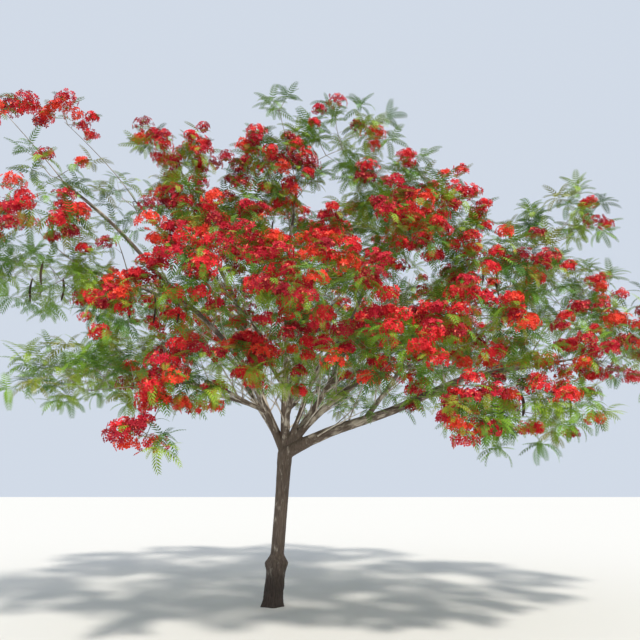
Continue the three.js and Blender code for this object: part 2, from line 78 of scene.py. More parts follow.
lens = bpy.data.cameras.new("viewer")
lens.sensor_width = SENSOR
lens.lens = SENSOR * FOCAL_PIXELS / PICTURE_PIXELS
lens.clip_end = 200
camera = bpy.data.objects.new("viewer", lens)
camera.location = VIEW_PLACE
camera.rotation_euler = (math.radians(90) + VIEW_TILT, 0, 0)
bpy.context.collection.objects.link(camera)
bpy.context.scene.camera = camera
print("lens", round(lens.lens, 2), "mm")

# %% [markdown]
# ## The studio
# A pale floor, a pale surround and one wide, high, warm lamp show the colours of blossom and
# bark without hard shadows. The surround gives as much light as a bright haze, so the
# undersides of the boughs, which face the viewer, stay readable.

# %% Floor, surround and lamp
FLOOR_SIZE = 120.0
FLOOR_DROP = 0.002
FLOOR_COLOUR = (0.66, 0.65, 0.62)
FLOOR_ROUGHNESS = 0.9
HAZE_COLOUR = (0.80, 0.88, 1.0)
HAZE_STRENGTH = 0.8
SUN_COLOUR = (1.0, 0.95, 0.87)
SUN_STRENGTH = 3.4
SUN_WIDTH = math.radians(6)
SUN_TURN = (math.radians(34), math.radians(14), 0)

def new_material(name):
    """A material, its node tree and the surface node in it."""
    material = bpy.data.materials.new(name)
    material.use_nodes = True
    return material, material.node_tree, material.node_tree.nodes["Principled BSDF"]


def set_up_studio():
    """A floor under the tree, a haze all round it and one wide, high lamp."""
    half = FLOOR_SIZE / 2
    corners = [(x * half, y * half, -FLOOR_DROP) for x, y in ((-1, -1), (1, -1), (1, 1), (-1, 1))]
    mesh = bpy.data.meshes.new("floor")
    mesh.from_pydata(corners, [], [(0, 1, 2, 3)])
    floor = bpy.data.objects.new("floor", mesh)
    bpy.context.collection.objects.link(floor)
    pale, _, surface = new_material("floor_pale")
    surface.inputs["Base Color"].default_value = (*FLOOR_COLOUR, 1)
    surface.inputs["Roughness"].default_value = FLOOR_ROUGHNESS
    mesh.materials.append(pale)

    world = bpy.data.worlds.new("haze")
    world.use_nodes = True
    haze = world.node_tree.nodes["Background"]
    haze.inputs["Color"].default_value = (*HAZE_COLOUR, 1)
    haze.inputs["Strength"].default_value = HAZE_STRENGTH
    bpy.context.scene.world = world

    sun = bpy.data.lights.new("sun", "SUN")
    sun.energy = SUN_STRENGTH
    sun.angle = SUN_WIDTH
    sun.color = SUN_COLOUR
    lamp = bpy.data.objects.new("sun", sun)
    lamp.rotation_euler = SUN_TURN
    bpy.context.collection.objects.link(lamp)
    bpy.context.scene.view_settings.view_transform = "Standard"


set_up_studio()
print("floor", FLOOR_SIZE, "m wide")

# %% [markdown]
# ## Measures
# These are the sizes that the solids were laid out with. The twigs have to grow on from the
# same limbs, so the same rule is followed again here, and carried on to finer wood.

# %% Sizes of the trunk, boughs and twigs
FORK_HEIGHT = 3.34
TRUNK_LEAN = 0.25
SHAFT_RADIUS = 0.142
FORK_SWELL = 0.014
TOP_RADIUS = 0.096
FOOT_RADIUS = 0.203
COLLAR_HEIGHT = 0.85
COLLAR_BLEND = 0.23
KNOB_SIZE = 0.046
KNOB_HEIGHT = 0.105
KNOB_HEADINGS = (174, 8)
ROOT_FLARE = 0.062
FLARE_HEIGHT = 0.13
ROOT_LOBES = 5
LOBE_TURN = 0.7
SWELL_FROM = 2
SWELL_TO = 3.1
CLOSE_FROM = 3.15
PLAIN_HEADING = 0.5
TRUNK_RINGS = (0, 0.05, 0.13, 0.3, 0.56, 0.74, 0.85, 0.95, 1.08, 1.4, 1.9, 2.4, 2.8, 3.08, 3.24, 3.34)

BOUGH_STEPS = 8
BOUGH_TIP_RADIUS = 0.025
BOUGH_WANDER = 0.014
BOUGH_LEAVE = 0.4
BOUGH_ARRIVE = 0.26
BOUGH_SETTLE = 0.22
BOUGH_FOOT_SWELL = 0.22
BOUGH_SWELL_SHARE = 0.035
WANDER_STEP = 0.37
PULL_BACK = 1.05
LONE_PULL_BACK = 0.8
HEART_DROP = 0.25
STEM_STEPS = 3
STEM_TIP_RADIUS = 0.013
LONE_STEM_SHARE = 0.8
SHARED_STEM_SHARE = 0.47
STEM_APART = 0.52
STEM_AHEAD = 0.35
STEM_ASIDE = 0.12
STEM_JOINTS = (0.5, 0.66, 0.82, 0.96)
TWIG_JOINTS = (0.3, 0.5)
TWIG_SHARE = 0.7
SHORTEST_TWIG = 0.16
TWIGS_PER_METRE = 3.4
TWIG_FILL = 0.64
FILL_RANGE = 0.16
TWIG_TOP_LIFT = 0.85
TWIG_LIFT_RANGE = 1.35
GOLDEN_ANGLE = math.radians(137.508)
GOLDEN_SHARE = 0.618034
GAP = 0.0003
SPACE_MARGIN = 0.012
WOOD_MARGIN = 0.016
WOOD_TEST_STEP = 0.09
SEED = 20711
MASS_STRIDE = 977
UP = np.array([0.0, 0.0, 1.0])

# %% [markdown]
# ## The boughs and the masses
# Each bough is given by the limb that it leaves, how far up that limb, the radius of its
# foot, and its heading and rise where it leaves. Each mass is given by its bough, by heading,
# reach and height of its middle, by its radius and half its height, by the share of its twigs
# that flower, and by the number of pods in it. Headings are degrees anticlockwise from +X
# about the upright line through the fork.

# %% Rows of boughs and masses
def bough(parent, at, radius, heading, rise):
    """The row of one bough, with angles in degrees."""
    return {"from": parent, "at": at, "radius": radius, "heading": heading, "rise": rise}


def mass(bough_name, heading, reach, height, spread, depth, bloom, pods=0):
    """The row of one mass. Its middle is at heading and reach from the line through the fork."""
    angle = math.radians(heading)
    middle = np.array([TRUNK_LEAN + reach * math.cos(angle), reach * math.sin(angle), height])
    row = {"bough": bough_name, "heading": heading, "middle": middle}
    return {**row, "spread": spread, "depth": depth, "bloom": bloom, "pods": pods}


BOUGHS = {
    "bough_east": bough("trunk", 0.95, 0.126, 350, 24),
    "leader": bough("trunk", 0.97, 0.076, 185, 86),
    "bough_east_high": bough("trunk", 0.97, 0.084, 345, 46),
    "bough_northwest": bough("trunk", 0.96, 0.072, 160, 66),
    "bough_north": bough("trunk", 0.95, 0.076, 85, 60),
    "bough_northeast": bough("trunk", 0.96, 0.074, 35, 54),
    "bough_west": bough("trunk", 0.93, 0.072, 200, 68),
    "bough_back_west": bough("trunk", 0.94, 0.07, 135, 58),
    "bough_inner_east": bough("trunk", 0.98, 0.058, 330, 62),
    "bough_south": bough("trunk", 0.97, 0.06, 268, 70),
    "bough_low_west": bough("bough_west", 0.14, 0.044, 205, 24),
    "bough_west_band": bough("bough_west", 0.5, 0.04, 205, 22),
    "bough_west_whip": bough("bough_northwest", 0.42, 0.038, 195, 46),
    "bough_southwest": bough("bough_south", 0.26, 0.044, 245, 42),
    "bough_southeast": bough("bough_east", 0.3, 0.058, 320, 48),
    "bough_east_far": bough("bough_east_high", 0.42, 0.048, 5, 40),
    "bough_east_low": bough("bough_east", 0.5, 0.05, 318, 10),
    "bough_low_north": bough("bough_north", 0.2, 0.048, 70, 24),
    "bough_low_back_west": bough("bough_back_west", 0.24, 0.042, 165, 20),
    "bough_back_east": bough("bough_northeast", 0.34, 0.046, 15, 34),
}

MASSES = {
    "west_high": mass("bough_west", 209, 6.3, 9.85, 0.62, 0.42, 0.95),
    "west_mid": mass("bough_west", 211, 5.35, 8.65, 1.0, 0.6, 0.45),
    "west_band": mass("bough_west_band", 217, 5.7, 7.35, 1.15, 0.5, 0.85),
    "west_low": mass("bough_west_band", 202, 5.3, 6.5, 1.5, 0.9, 0.1, 1),
    "west_whip": mass("bough_west_whip", 202, 5.1, 10.2, 0.62, 0.36, 0.95),
    "northwest_top": mass("bough_west_whip", 194, 3.4, 8.6, 1.4, 0.95, 0.3),
    "top_left": mass("bough_northwest", 184, 2.75, 10.3, 1.0, 0.6, 0.95),
    "top": mass("leader", 257, 0.9, 11.1, 0.5, 0.34, 0.05),
    "top_mid": mass("leader", 259, 1.85, 9.1, 0.95, 0.8, 0.75),
    "top_right": mass("leader", 333, 1.5, 10.3, 1.15, 0.8, 0.35),
    "middle": mass("bough_south", 298, 3.75, 6.95, 1.25, 0.9, 0.85),
    "front_middle": mass("bough_south", 278, 4.95, 5.7, 1.2, 0.8, 0.85),
    "front_left": mass("bough_southwest", 257, 4.4, 6.2, 1.25, 0.9, 0.95),
    "middle_left": mass("bough_southwest", 244, 3, 7.6, 1.1, 0.8, 0.8),
    "middle_low": mass("bough_southwest", 266, 2.9, 4.75, 0.8, 0.65, 0.9),
    "southwest_hang": mass("bough_low_west", 250, 4.45, 4.35, 0.55, 0.9, 0.95),
    "southwest_tail": mass("bough_low_west", 247, 5, 3.4, 0.42, 0.45, 0.95),
    "southwest_middle": mass("bough_low_west", 241, 4.25, 5.65, 1.1, 0.75, 0.75, 1),
    "southwest_low": mass("bough_low_west", 215, 4.5, 4.45, 1.35, 0.85, 0.1),
    "northeast_top": mass("bough_inner_east", 341, 2.5, 9.1, 1.15, 0.75, 0.5),
    "east_top": mass("bough_inner_east", 326, 3.75, 7.7, 1.25, 0.9, 0.5),
    "east_middle": mass("bough_east_high", 331, 4.95, 6.55, 1.35, 0.9, 0.6, 1),
    "east_back": mass("bough_east_far", 9, 6.85, 6.9, 1.4, 0.95, 0.15),
    "east_far_top": mass("bough_east_far", 0, 6.45, 8.55, 1.2, 0.7, 0.15),
    "front_right": mass("bough_southeast", 293, 4.8, 4.7, 0.95, 0.7, 0.8),
    "east_front": mass("bough_southeast", 311, 5.2, 5.15, 1.2, 0.8, 0.9),
    "east_far": mass("bough_east", 340, 6.75, 4.9, 1.25, 0.8, 0.75),
    "east_edge": mass("bough_east", 358, 7.6, 5.85, 1.35, 0.9, 0.45),
    "southeast_hang": mass("bough_east_low", 306, 5.2, 3.85, 0.5, 0.8, 0.95),
    "east_hang": mass("bough_east_low", 327, 5.65, 3.95, 1.3, 0.75, 0.2, 1),
    "back_east_top": mass("bough_northeast", 40, 3.25, 9.1, 1.5, 0.95, 0.3),
    "back_northeast": mass("bough_northeast", 47, 5.75, 7.3, 1.55, 1.05, 0.4),
    "back_north_top": mass("bough_north", 100, 3.15, 9.3, 1.5, 0.95, 0.6, 1),
    "back_north": mass("bough_north", 78, 5.95, 7.2, 1.55, 1.05, 0.5),
    "back_east": mass("bough_back_east", 24, 5.2, 5.55, 1.35, 0.9, 0.3),
    "back_north_low": mass("bough_low_north", 78, 5.3, 5.2, 1.5, 0.95, 0.15),
    "back_northwest": mass("bough_back_west", 112, 5.8, 7, 1.55, 1.05, 0.5),
    "back_west": mass("bough_back_west", 146, 5.5, 7.3, 1.55, 1.05, 0.45, 1),
    "back_west_low": mass("bough_low_back_west", 155, 4.9, 5.3, 1.45, 0.95, 0.15),
}
print(len(BOUGHS), "boughs and", len(MASSES), "masses")

# %% [markdown]
# ## The line of every limb
# A bough on this tree leaves the fork steeply, flattens as it reaches out, and wanders a
# little where older side branches were lost. One cubic curve gives the arch, and a slow turn
# about it gives the wander. Points are spaced evenly by length, because a curve's own
# parameter bunches them up where it bends.

# %% Curves for boughs and stems
def unit(vectors):
    """Each vector over its own length."""
    return vectors / np.linalg.norm(vectors, axis=-1, keepdims=True)


def smooth(low, high, x):
    """3t² - 2t³, with t the share of the way from low to high."""
    t = np.clip((x - low) / (high - low), 0, 1)
    return t * t * (3 - 2 * t)


def draws(seed):
    """A stream of repeatable numbers from 0 to 1: state = state · 1664525 + 1013904223, in 32 bits."""
    state = seed
    while True:
        state = (state * 1664525 + 1013904223) & 0xFFFFFFFF
        yield state / 4294967296


def trunk_line(z):
    """x = lean · (z / fork height)^0.8, y = 0."""
    z = np.asarray(z, float)
    return np.stack([TRUNK_LEAN * (np.maximum(z, 0) / FORK_HEIGHT) ** 0.8, 0 * z, z], -1)


def trunk_radius(z, angle):
    """Shaft, stout foot, swelling at the fork, root lobes that die away upwards, and two knobs at
    the collar."""
    foot = (FOOT_RADIUS - SHAFT_RADIUS) * (1 - smooth(COLLAR_HEIGHT, COLLAR_HEIGHT + COLLAR_BLEND, z))
    close = (SHAFT_RADIUS + FORK_SWELL - TOP_RADIUS) * smooth(CLOSE_FROM, FORK_HEIGHT, z)
    radius = SHAFT_RADIUS + foot + FORK_SWELL * smooth(SWELL_FROM, SWELL_TO, z) - close
    lobes = 0.6 + 0.4 * np.cos(ROOT_LOBES * angle + LOBE_TURN)
    radius = radius + ROOT_FLARE * np.exp(-z / FLARE_HEIGHT) * lobes
    for heading in KNOB_HEADINGS:
        turn = np.maximum(np.cos(angle - math.radians(heading)), 0)
        radius = radius + KNOB_SIZE * np.exp(-(((z - COLLAR_HEIGHT) / KNOB_HEIGHT) ** 2)) * turn**4
    return radius


def bough_curve(foot, tip, leave, arrive, phase):
    """A cubic curve, plus sin(πt) · wander · (side · sin turn + lift · cos 1.2 turn), with
    turn = 2π(1.3t + phase)."""
    length = np.linalg.norm(tip - foot)
    ahead = BOUGH_LEAVE * length * leave
    back = BOUGH_ARRIVE * length * arrive
    corners = np.array([foot, foot + ahead, tip - back, tip])
    chord = unit(tip - foot)
    side = unit(np.cross(chord, UP))
    lift = np.cross(side, chord)

    def at(t):
        t = np.asarray(t)[:, None]
        shares = np.hstack([(1 - t) ** 3, 3 * t * (1 - t) ** 2, 3 * t * t * (1 - t), t**3])
        fade = np.sin(math.pi * t) * BOUGH_WANDER * length
        turn = 2 * math.pi * (1.3 * t + phase)
        return shares @ corners + fade * (np.sin(turn) * side + np.cos(1.2 * turn) * lift)

    return at


def bend_curve(foot, bend, tip):
    """A quadratic curve: (1 - t)² · foot + 2t(1 - t) · bend + t² · tip."""

    def at(t):
        t = np.asarray(t)[:, None]
        return (1 - t) ** 2 * foot + 2 * t * (1 - t) * bend + t * t * tip

    return at


def spaced(curve, steps):
    """Points evenly spaced by length, which 200 short chords measure."""
    t = np.linspace(0, 1, 201)
    chords = np.linalg.norm(np.diff(curve(t), axis=0), axis=1)
    run = np.concatenate([[0], np.cumsum(chords)])
    return curve(np.interp(np.linspace(0, run[-1], steps + 1), run, t))


def on_line(points, share):
    """The point at a share of a line's steps."""
    at = share * (len(points) - 1)
    index = min(int(at), len(points) - 2)
    return points[index] + (at - index) * (points[index + 1] - points[index])


def bough_radius(foot, share):
    """A swollen foot that dies away, then a steady taper."""
    taper = BOUGH_TIP_RADIUS + (foot - BOUGH_TIP_RADIUS) * (1 - share) ** 0.85
    return taper + BOUGH_FOOT_SWELL * foot * np.exp(-share / BOUGH_SWELL_SHARE)


# %% Laying the boughs
def lay_limbs():
    """The trunk's line and a curve for each bough, which ends just short of the middle of the
    masses that it carries."""
    rings = np.array(TRUNK_RINGS)
    limbs = {"trunk": {"points": trunk_line(rings), "radii": trunk_radius(rings, PLAIN_HEADING)}}
    for index, (name, row) in enumerate(BOUGHS.items()):
        parent = limbs[row["from"]]
        on_trunk = row["from"] == "trunk"
        start = trunk_line(row["at"] * FORK_HEIGHT) if on_trunk else on_line(parent["points"], row["at"])
        carried = [key for key in MASSES if MASSES[key]["bough"] == name]
        middle = sum(MASSES[key]["middle"] for key in carried) / len(carried)
        pull = LONE_PULL_BACK * MASSES[carried[0]]["spread"] if len(carried) == 1 else PULL_BACK
        tip = middle - pull * unit(middle - start)
        heading, rise = math.radians(row["heading"]), math.radians(row["rise"])
        level = math.cos(rise)
        leave = np.array([level * math.cos(heading), level * math.sin(heading), math.sin(rise)])
        arrive = unit(unit(tip - start) - BOUGH_SETTLE * UP)
        curve = bough_curve(start, tip, leave, arrive, WANDER_STEP * index)
        share = np.arange(BOUGH_STEPS + 1) / BOUGH_STEPS
        points = spaced(curve, BOUGH_STEPS)
        radii = bough_radius(row["radius"], share)
        limbs[name] = {"points": points, "radii": radii, "curve": curve, "carried": carried}
    return limbs


def lay_stems():
    """A bent stem for each mass, from its bough's tip to a little below the mass's middle."""
    stems = {}
    for limb in limbs.values():
        carried = limb.get("carried", [])
        for name in carried:
            tip = limb["points"][-1]
            along = unit(tip - limb["points"][-2])
            heart = MASSES[name]["middle"] - HEART_DROP * MASSES[name]["depth"] * UP
            aside = heart - tip
            aside = unit(aside - along * (aside @ along))
            alone = len(carried) == 1
            radius = BOUGH_TIP_RADIUS * (LONE_STEM_SHARE if alone else SHARED_STEM_SHARE)
            foot = tip + GAP * along + (0 if alone else STEM_APART * BOUGH_TIP_RADIUS) * aside
            length = np.linalg.norm(heart - foot)
            bend = foot + STEM_AHEAD * length * along + (0 if alone else STEM_ASIDE * length) * aside
            curve = bend_curve(foot, bend, heart)
            share = np.arange(STEM_STEPS + 1) / STEM_STEPS
            radii = radius + (STEM_TIP_RADIUS - radius) * share
            stems[name] = {"points": spaced(curve, STEM_STEPS), "radii": radii, "curve": curve}
    return stems


limbs = lay_limbs()
stems = lay_stems()
print(len(limbs) - 1, "boughs carry", len(stems), "stems")

# %% [markdown]
# ## The space of each mass
# Twigs of neighbouring boughs share the light, and seldom cross. A flat wall halfway between
# each two masses, nearer the smaller one, keeps every mass to its own space. Wood of other
# limbs is kept clear in the same way, as a chain of rounded bars.

# %% Walls and wood
def walls_of(name):
    """Rows of (way to the other mass, limit): a point is inside where way · point < limit for
    every row."""
    own = MASSES[name]
    others = [other for key, other in MASSES.items() if key != name]
    apart = np.array([other["middle"] for other in others]) - own["middle"]
    length = np.linalg.norm(apart, axis=1)
    share = own["spread"] / (own["spread"] + np.array([other["spread"] for other in others]))
    ways = apart / length[:, None]
    return ways, ways @ own["middle"] + length * share - SPACE_MARGIN


def inside(points, walls, slack=0.0):
    """Which points lie within all the walls, give or take the slack."""
    ways, limits = walls
    return (np.atleast_2d(points) @ ways.T < limits + slack).all(axis=1)


def bars_of(lines):
    """Every step of every line as a bar: start, end and the larger radius of the two."""
    starts = np.concatenate([line["points"][:-1] for line in lines])
    ends = np.concatenate([line["points"][1:] for line in lines])
    radii = np.concatenate([np.maximum(line["radii"][:-1], line["radii"][1:]) for line in lines])
    return starts, ends, radii


def nearest_wood(points, bars):
    """Distance from each point to the nearest bar's surface."""
    starts, ends, radii = bars
    along = ends - starts
    offset = points[:, None] - starts
    share = np.clip((offset * along).sum(-1) / (along * along).sum(-1), 0, 1)
    return (np.linalg.norm(offset - share[..., None] * along, axis=-1) - radii).min(axis=1)


def clear_of_wood(start, end, radius, bars):
    """Whether a twig of this radius keeps its margin to all the bars, tested point by point."""
    count = max(2, math.ceil(np.linalg.norm(end - start) / WOOD_TEST_STEP))
    points = start + (end - start) * np.linspace(0, 1, count + 1)[:, None]
    return nearest_wood(points, bars).min() >= radius + WOOD_MARGIN


# %% [markdown]
# ## Twigs
# Each mass grows from one stem. Twigs branch from the nearest wood of their own mass to
# points that a golden-angle spiral spreads through the mass, which is how a plant deals out
# its shoots too. This is the rule that the solids follow, with the same stream of numbers,
# so every twig here runs where a solid twig runs.

# %% Growing the twigs
def branch_to(target, grown, walls, bars):
    """The twig to target from the nearest joint of the mass's own wood, or None."""
    best = None
    for host in grown:
        for share in STEM_JOINTS if host is grown[0] else TWIG_JOINTS:
            point = on_line(host["points"], share)
            distance = np.linalg.norm(point - target)
            if distance < SHORTEST_TWIG or not inside(point, walls)[0]:
                continue
            if best is None or distance < best[1]:
                best = point, distance, host["radii"][0] + (host["radii"][-1] - host["radii"][0]) * share
    if best is None or not inside(target, walls)[0]:
        return None
    radius = TWIG_SHARE * best[2]
    if not clear_of_wood(best[0], target, radius, bars):
        return None
    return {"points": np.array([best[0], target]), "radii": np.array([radius, 0])}


def grow_twigs(name):
    """The mass's stem, then its twigs. Target k is at middle + fill · (spread · level, depth ·
    lift), turned by k golden angles, with lift falling evenly from the top to below the middle."""
    row = MASSES[name]
    stream = draws(SEED + MASS_STRIDE * list(MASSES).index(name))
    walls = walls_of(name)
    bars = bars_of([*limbs.values(), *(stem for key, stem in stems.items() if key != name)])
    turn = 2 * math.pi * next(stream)
    first = next(stream)
    count = math.floor(TWIGS_PER_METRE * (row["spread"] + row["depth"]) + 0.5)
    grown = [stems[name]]
    for k in range(count):
        lift = TWIG_TOP_LIFT - TWIG_LIFT_RANGE * (k + 0.5) / count
        angle = turn + k * GOLDEN_ANGLE
        out = row["spread"] * math.sqrt(1 - lift * lift)
        towards = np.array([out * math.cos(angle), out * math.sin(angle), row["depth"] * lift])
        target = row["middle"] + towards * (TWIG_FILL + FILL_RANGE * (next(stream) - 0.5))
        flowers = (first + k * GOLDEN_SHARE) % 1 < row["bloom"]
        twig = branch_to(target, grown, walls, bars)
        if twig:
            grown.append({**twig, "flowers": flowers})
    return grown


grown = {name: grow_twigs(name) for name in MASSES}
print(sum(len(lines) - 1 for lines in grown.values()), "twigs")

# %% [markdown]
# ## Meshes from whole arrays
# Every piece is a surface on a grid of numbers: rings along a line, or a pattern copied to
# many places. numpy works all the points out at once, and foreach_set hands them to Blender
# without a loop over them.

# %% Mesh and noise helpers
def make_piece(name, points, quads=(), triangles=(), finishes=(), shades=None, round_off=True):
    """Puts points and faces into a mesh object at the origin. shades gives each face's finish."""
    quads = np.asarray(quads, np.int32).reshape(-1, 4)
    triangles = np.asarray(triangles, np.int32).reshape(-1, 3)
    loops = np.concatenate([quads.ravel(), triangles.ravel()])
    starts = np.concatenate([4 * np.arange(len(quads)), 4 * len(quads) + 3 * np.arange(len(triangles))])
    mesh = bpy.data.meshes.new(name)
    mesh.vertices.add(len(points))
    mesh.vertices.foreach_set("co", np.asarray(points, np.float32).ravel())
    mesh.loops.add(len(loops))
    mesh.loops.foreach_set("vertex_index", loops)
    mesh.polygons.add(len(starts))
    mesh.polygons.foreach_set("loop_start", starts.astype(np.int32))
    for finish in finishes:
        mesh.materials.append(finish)
    if shades is not None:
        mesh.polygons.foreach_set("material_index", np.asarray(shades, np.int32))
    mesh.polygons.foreach_set("use_smooth", np.full(len(starts), round_off))
    mesh.update(calc_edges=True)
    mesh.validate()
    piece = bpy.data.objects.new(name, mesh)
    bpy.context.collection.objects.link(piece)
    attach(piece, "root")
    print(name, 2 * len(quads) + len(triangles), "triangles")
    return piece


def lattice_noise(points, cell, seed):
    """Smooth noise from -1 to 1: each corner of a lattice has a value made from its own numbers,
    and a point blends the values of the 8 corners round it by 3t² - 2t³ along each axis."""
    place = points / np.asarray(cell, float)
    corner = np.floor(place).astype(np.int64)
    t = place - corner
    t = t * t * (3 - 2 * t)
    total = 0.0
    for step in np.ndindex(2, 2, 2):
        c = corner + step
        value = (c[..., 0] * 73856093) ^ (c[..., 1] * 19349663) ^ (c[..., 2] * 83492791)
        value = value ^ (seed * 2654435761)
        value = ((value ^ (value >> 13)) * 1274126177) & 0xFFFFFFFF
        value = (value ^ (value >> 16)) / 2147483648 - 1
        total = total + value * np.prod(np.where(np.array(step) == 1, t, 1 - t), axis=-1)
    return total


def ring_frames(lines):
    """A normal and a binormal at each point of each line. Each normal is the one before it, less
    its part along the new tangent, so that rings don't twist."""
    tangents = unit(np.gradient(lines, axis=-2))
    normal = np.where(np.abs(tangents[..., 0, :1]) > 0.9, [0.0, 1.0, 0.0], [1.0, 0.0, 0.0])
    normals = np.empty_like(tangents)
    for i in range(lines.shape[-2]):
        tangent = tangents[..., i, :]
        normal = unit(normal - tangent * (normal * tangent).sum(-1, keepdims=True))
        normals[..., i, :] = normal
    return normals, np.cross(tangents, normals)


def tubes(lines, radii, sides):
    """Points, quads and triangles of closed tubes along lines of equal numbers of points:
    point + radius · (cos a · normal + sin a · binormal). Radii may differ round each ring."""
    count, rings = lines.shape[:2]
    radii = radii[..., None] if radii.ndim == 2 else radii
    angle = 2 * math.pi * np.arange(sides) / sides
    normals, binormals = ring_frames(lines)
    out = np.cos(angle)[:, None] * normals[:, :, None] + np.sin(angle)[:, None] * binormals[:, :, None]
    body = lines[:, :, None] + radii[..., None] * out
    points = np.concatenate([body.reshape(count, -1, 3), lines[:, :1], lines[:, -1:]], axis=1)
    side = np.arange(sides)
    after = (side + 1) % sides
    low = (sides * np.arange(rings - 1))[:, None]
    quads = np.stack([low + side, low + after, low + sides + after, low + sides + side], -1).reshape(-1, 4)
    foot = np.stack([np.full(sides, rings * sides), after, side], -1)
    top = (rings - 1) * sides
    tip = np.stack([np.full(sides, rings * sides + 1), top + side, top + after], -1)
    shift = (rings * sides + 2) * np.arange(count)[:, None, None]
    triangles = np.concatenate([foot, tip])
    return points.reshape(-1, 3), (quads + shift).reshape(-1, 4), (triangles + shift).reshape(-1, 3)


def join_parts(parts):
    """Several (points, quads, triangles) as one, with each part's corners numbered on from the last."""
    shift = np.cumsum([0] + [len(points) for points, _, _ in parts[:-1]])
    points = np.concatenate([part[0] for part in parts])
    quads = np.concatenate([part[1] + start for part, start in zip(parts, shift)])
    triangles = np.concatenate([part[2] + start for part, start in zip(parts, shift)])
    return points, quads, triangles


# %% [markdown]
# ## Bark
# The bark of a flame tree is thin and grey-brown, with fine upright wrinkles and small raised
# pores. Its browns are set darker than the bark's own, as painted shade of the crown over it,
# and pale, almost cream patches are painted flecks of sunlight. The old foot is rough, and the
# trunk is darker towards it, nearly black at the bottom. An image could carry all this, but
# noise in the material has no seam on a branching form. On a bough the noise reads an attribute
# in which the bough is straightened out, so the wrinkles follow every bend.

# %% Bark materials
# The browns are a little darker than the bark's own: painted shade of the crown.
DARK_BROWN = (0.075, 0.054, 0.041)
BROWN = (0.150, 0.113, 0.087)
LIGHT_BROWN = (0.25, 0.198, 0.155)
# DULL_CREAM and CREAM are painted flecks of sunlight on the bark.
DULL_CREAM = (0.34, 0.28, 0.215)
CREAM = (0.66, 0.59, 0.49)
# Colours of the trunk's foot: the trunk is darker towards the bottom.
FOOT_BLACK = (0.022, 0.016, 0.013)
FOOT_BROWN = (0.075, 0.055, 0.042)
FOOT_DARKEST_BELOW = 0.35
FOOT_DARK_ENDS_ABOVE = 1.15
BARK_RELIEF = 0.008
BARK_RELIEF_STRENGTH = 0.55
BARK_SHINE = 0.3
WRINKLE_GRAIN = 42
BLOTCH_GRAIN = 7
PORE_GRAIN = 55
# Blotch values over which the painted sun flecks fade in, on the trunk and on the boughs.
TRUNK_SUN_FLECKS = (0.56, 0.72)
BOUGH_SUN_FLECKS = (0.47, 0.62)
ROUGHEST = (0.92, 0.92, 0.92)
SMOOTHEST = (0.68, 0.68, 0.68)

def link(tree, out, into):
    tree.links.new(out, into)


def add_noise(tree, vector, scale, detail, roughness=0.55):
    """Noise from 0 to 1, with scale cells a metre."""
    noise = tree.nodes.new("ShaderNodeTexNoise")
    noise.inputs["Scale"].default_value = scale
    noise.inputs["Detail"].default_value = detail
    noise.inputs["Roughness"].default_value = roughness
    link(tree, vector, noise.inputs["Vector"])
    return noise.outputs["Fac"]


def add_ramp(tree, value, stops):
    """Colours at places from 0 to 1, blended between."""
    ramp = tree.nodes.new("ShaderNodeValToRGB")
    elements = ramp.color_ramp.elements
    while len(elements) < len(stops):
        elements.new(0.5)
    for element, (place, colour) in zip(elements, stops):
        element.position = place
        element.color = (*colour, 1)
    link(tree, value, ramp.inputs["Fac"])
    return ramp.outputs["Color"]


def add_mix(tree, share, first, second):
    """first · (1 - share) + second · share."""
    mix = tree.nodes.new("ShaderNodeMix")
    mix.data_type = "RGBA"
    link(tree, share, mix.inputs["Factor"])
    link(tree, first, mix.inputs["A"])
    link(tree, second, mix.inputs["B"])
    return mix.outputs["Result"]


def add_range(tree, value, low, high):
    """0 below low and 1 above high, with a soft step between."""
    between = tree.nodes.new("ShaderNodeMapRange")
    between.interpolation_type = "SMOOTHSTEP"
    between.inputs["From Min"].default_value = low
    between.inputs["From Max"].default_value = high
    link(tree, value, between.inputs["Value"])
    return between.outputs["Result"]


def stretched(tree, vector, scale):
    """The vector with each axis scaled, so noise that reads it is drawn out along small ones."""
    mapping = tree.nodes.new("ShaderNodeMapping")
    mapping.inputs["Scale"].default_value = scale
    link(tree, vector, mapping.inputs["Vector"])
    return mapping.outputs["Vector"]


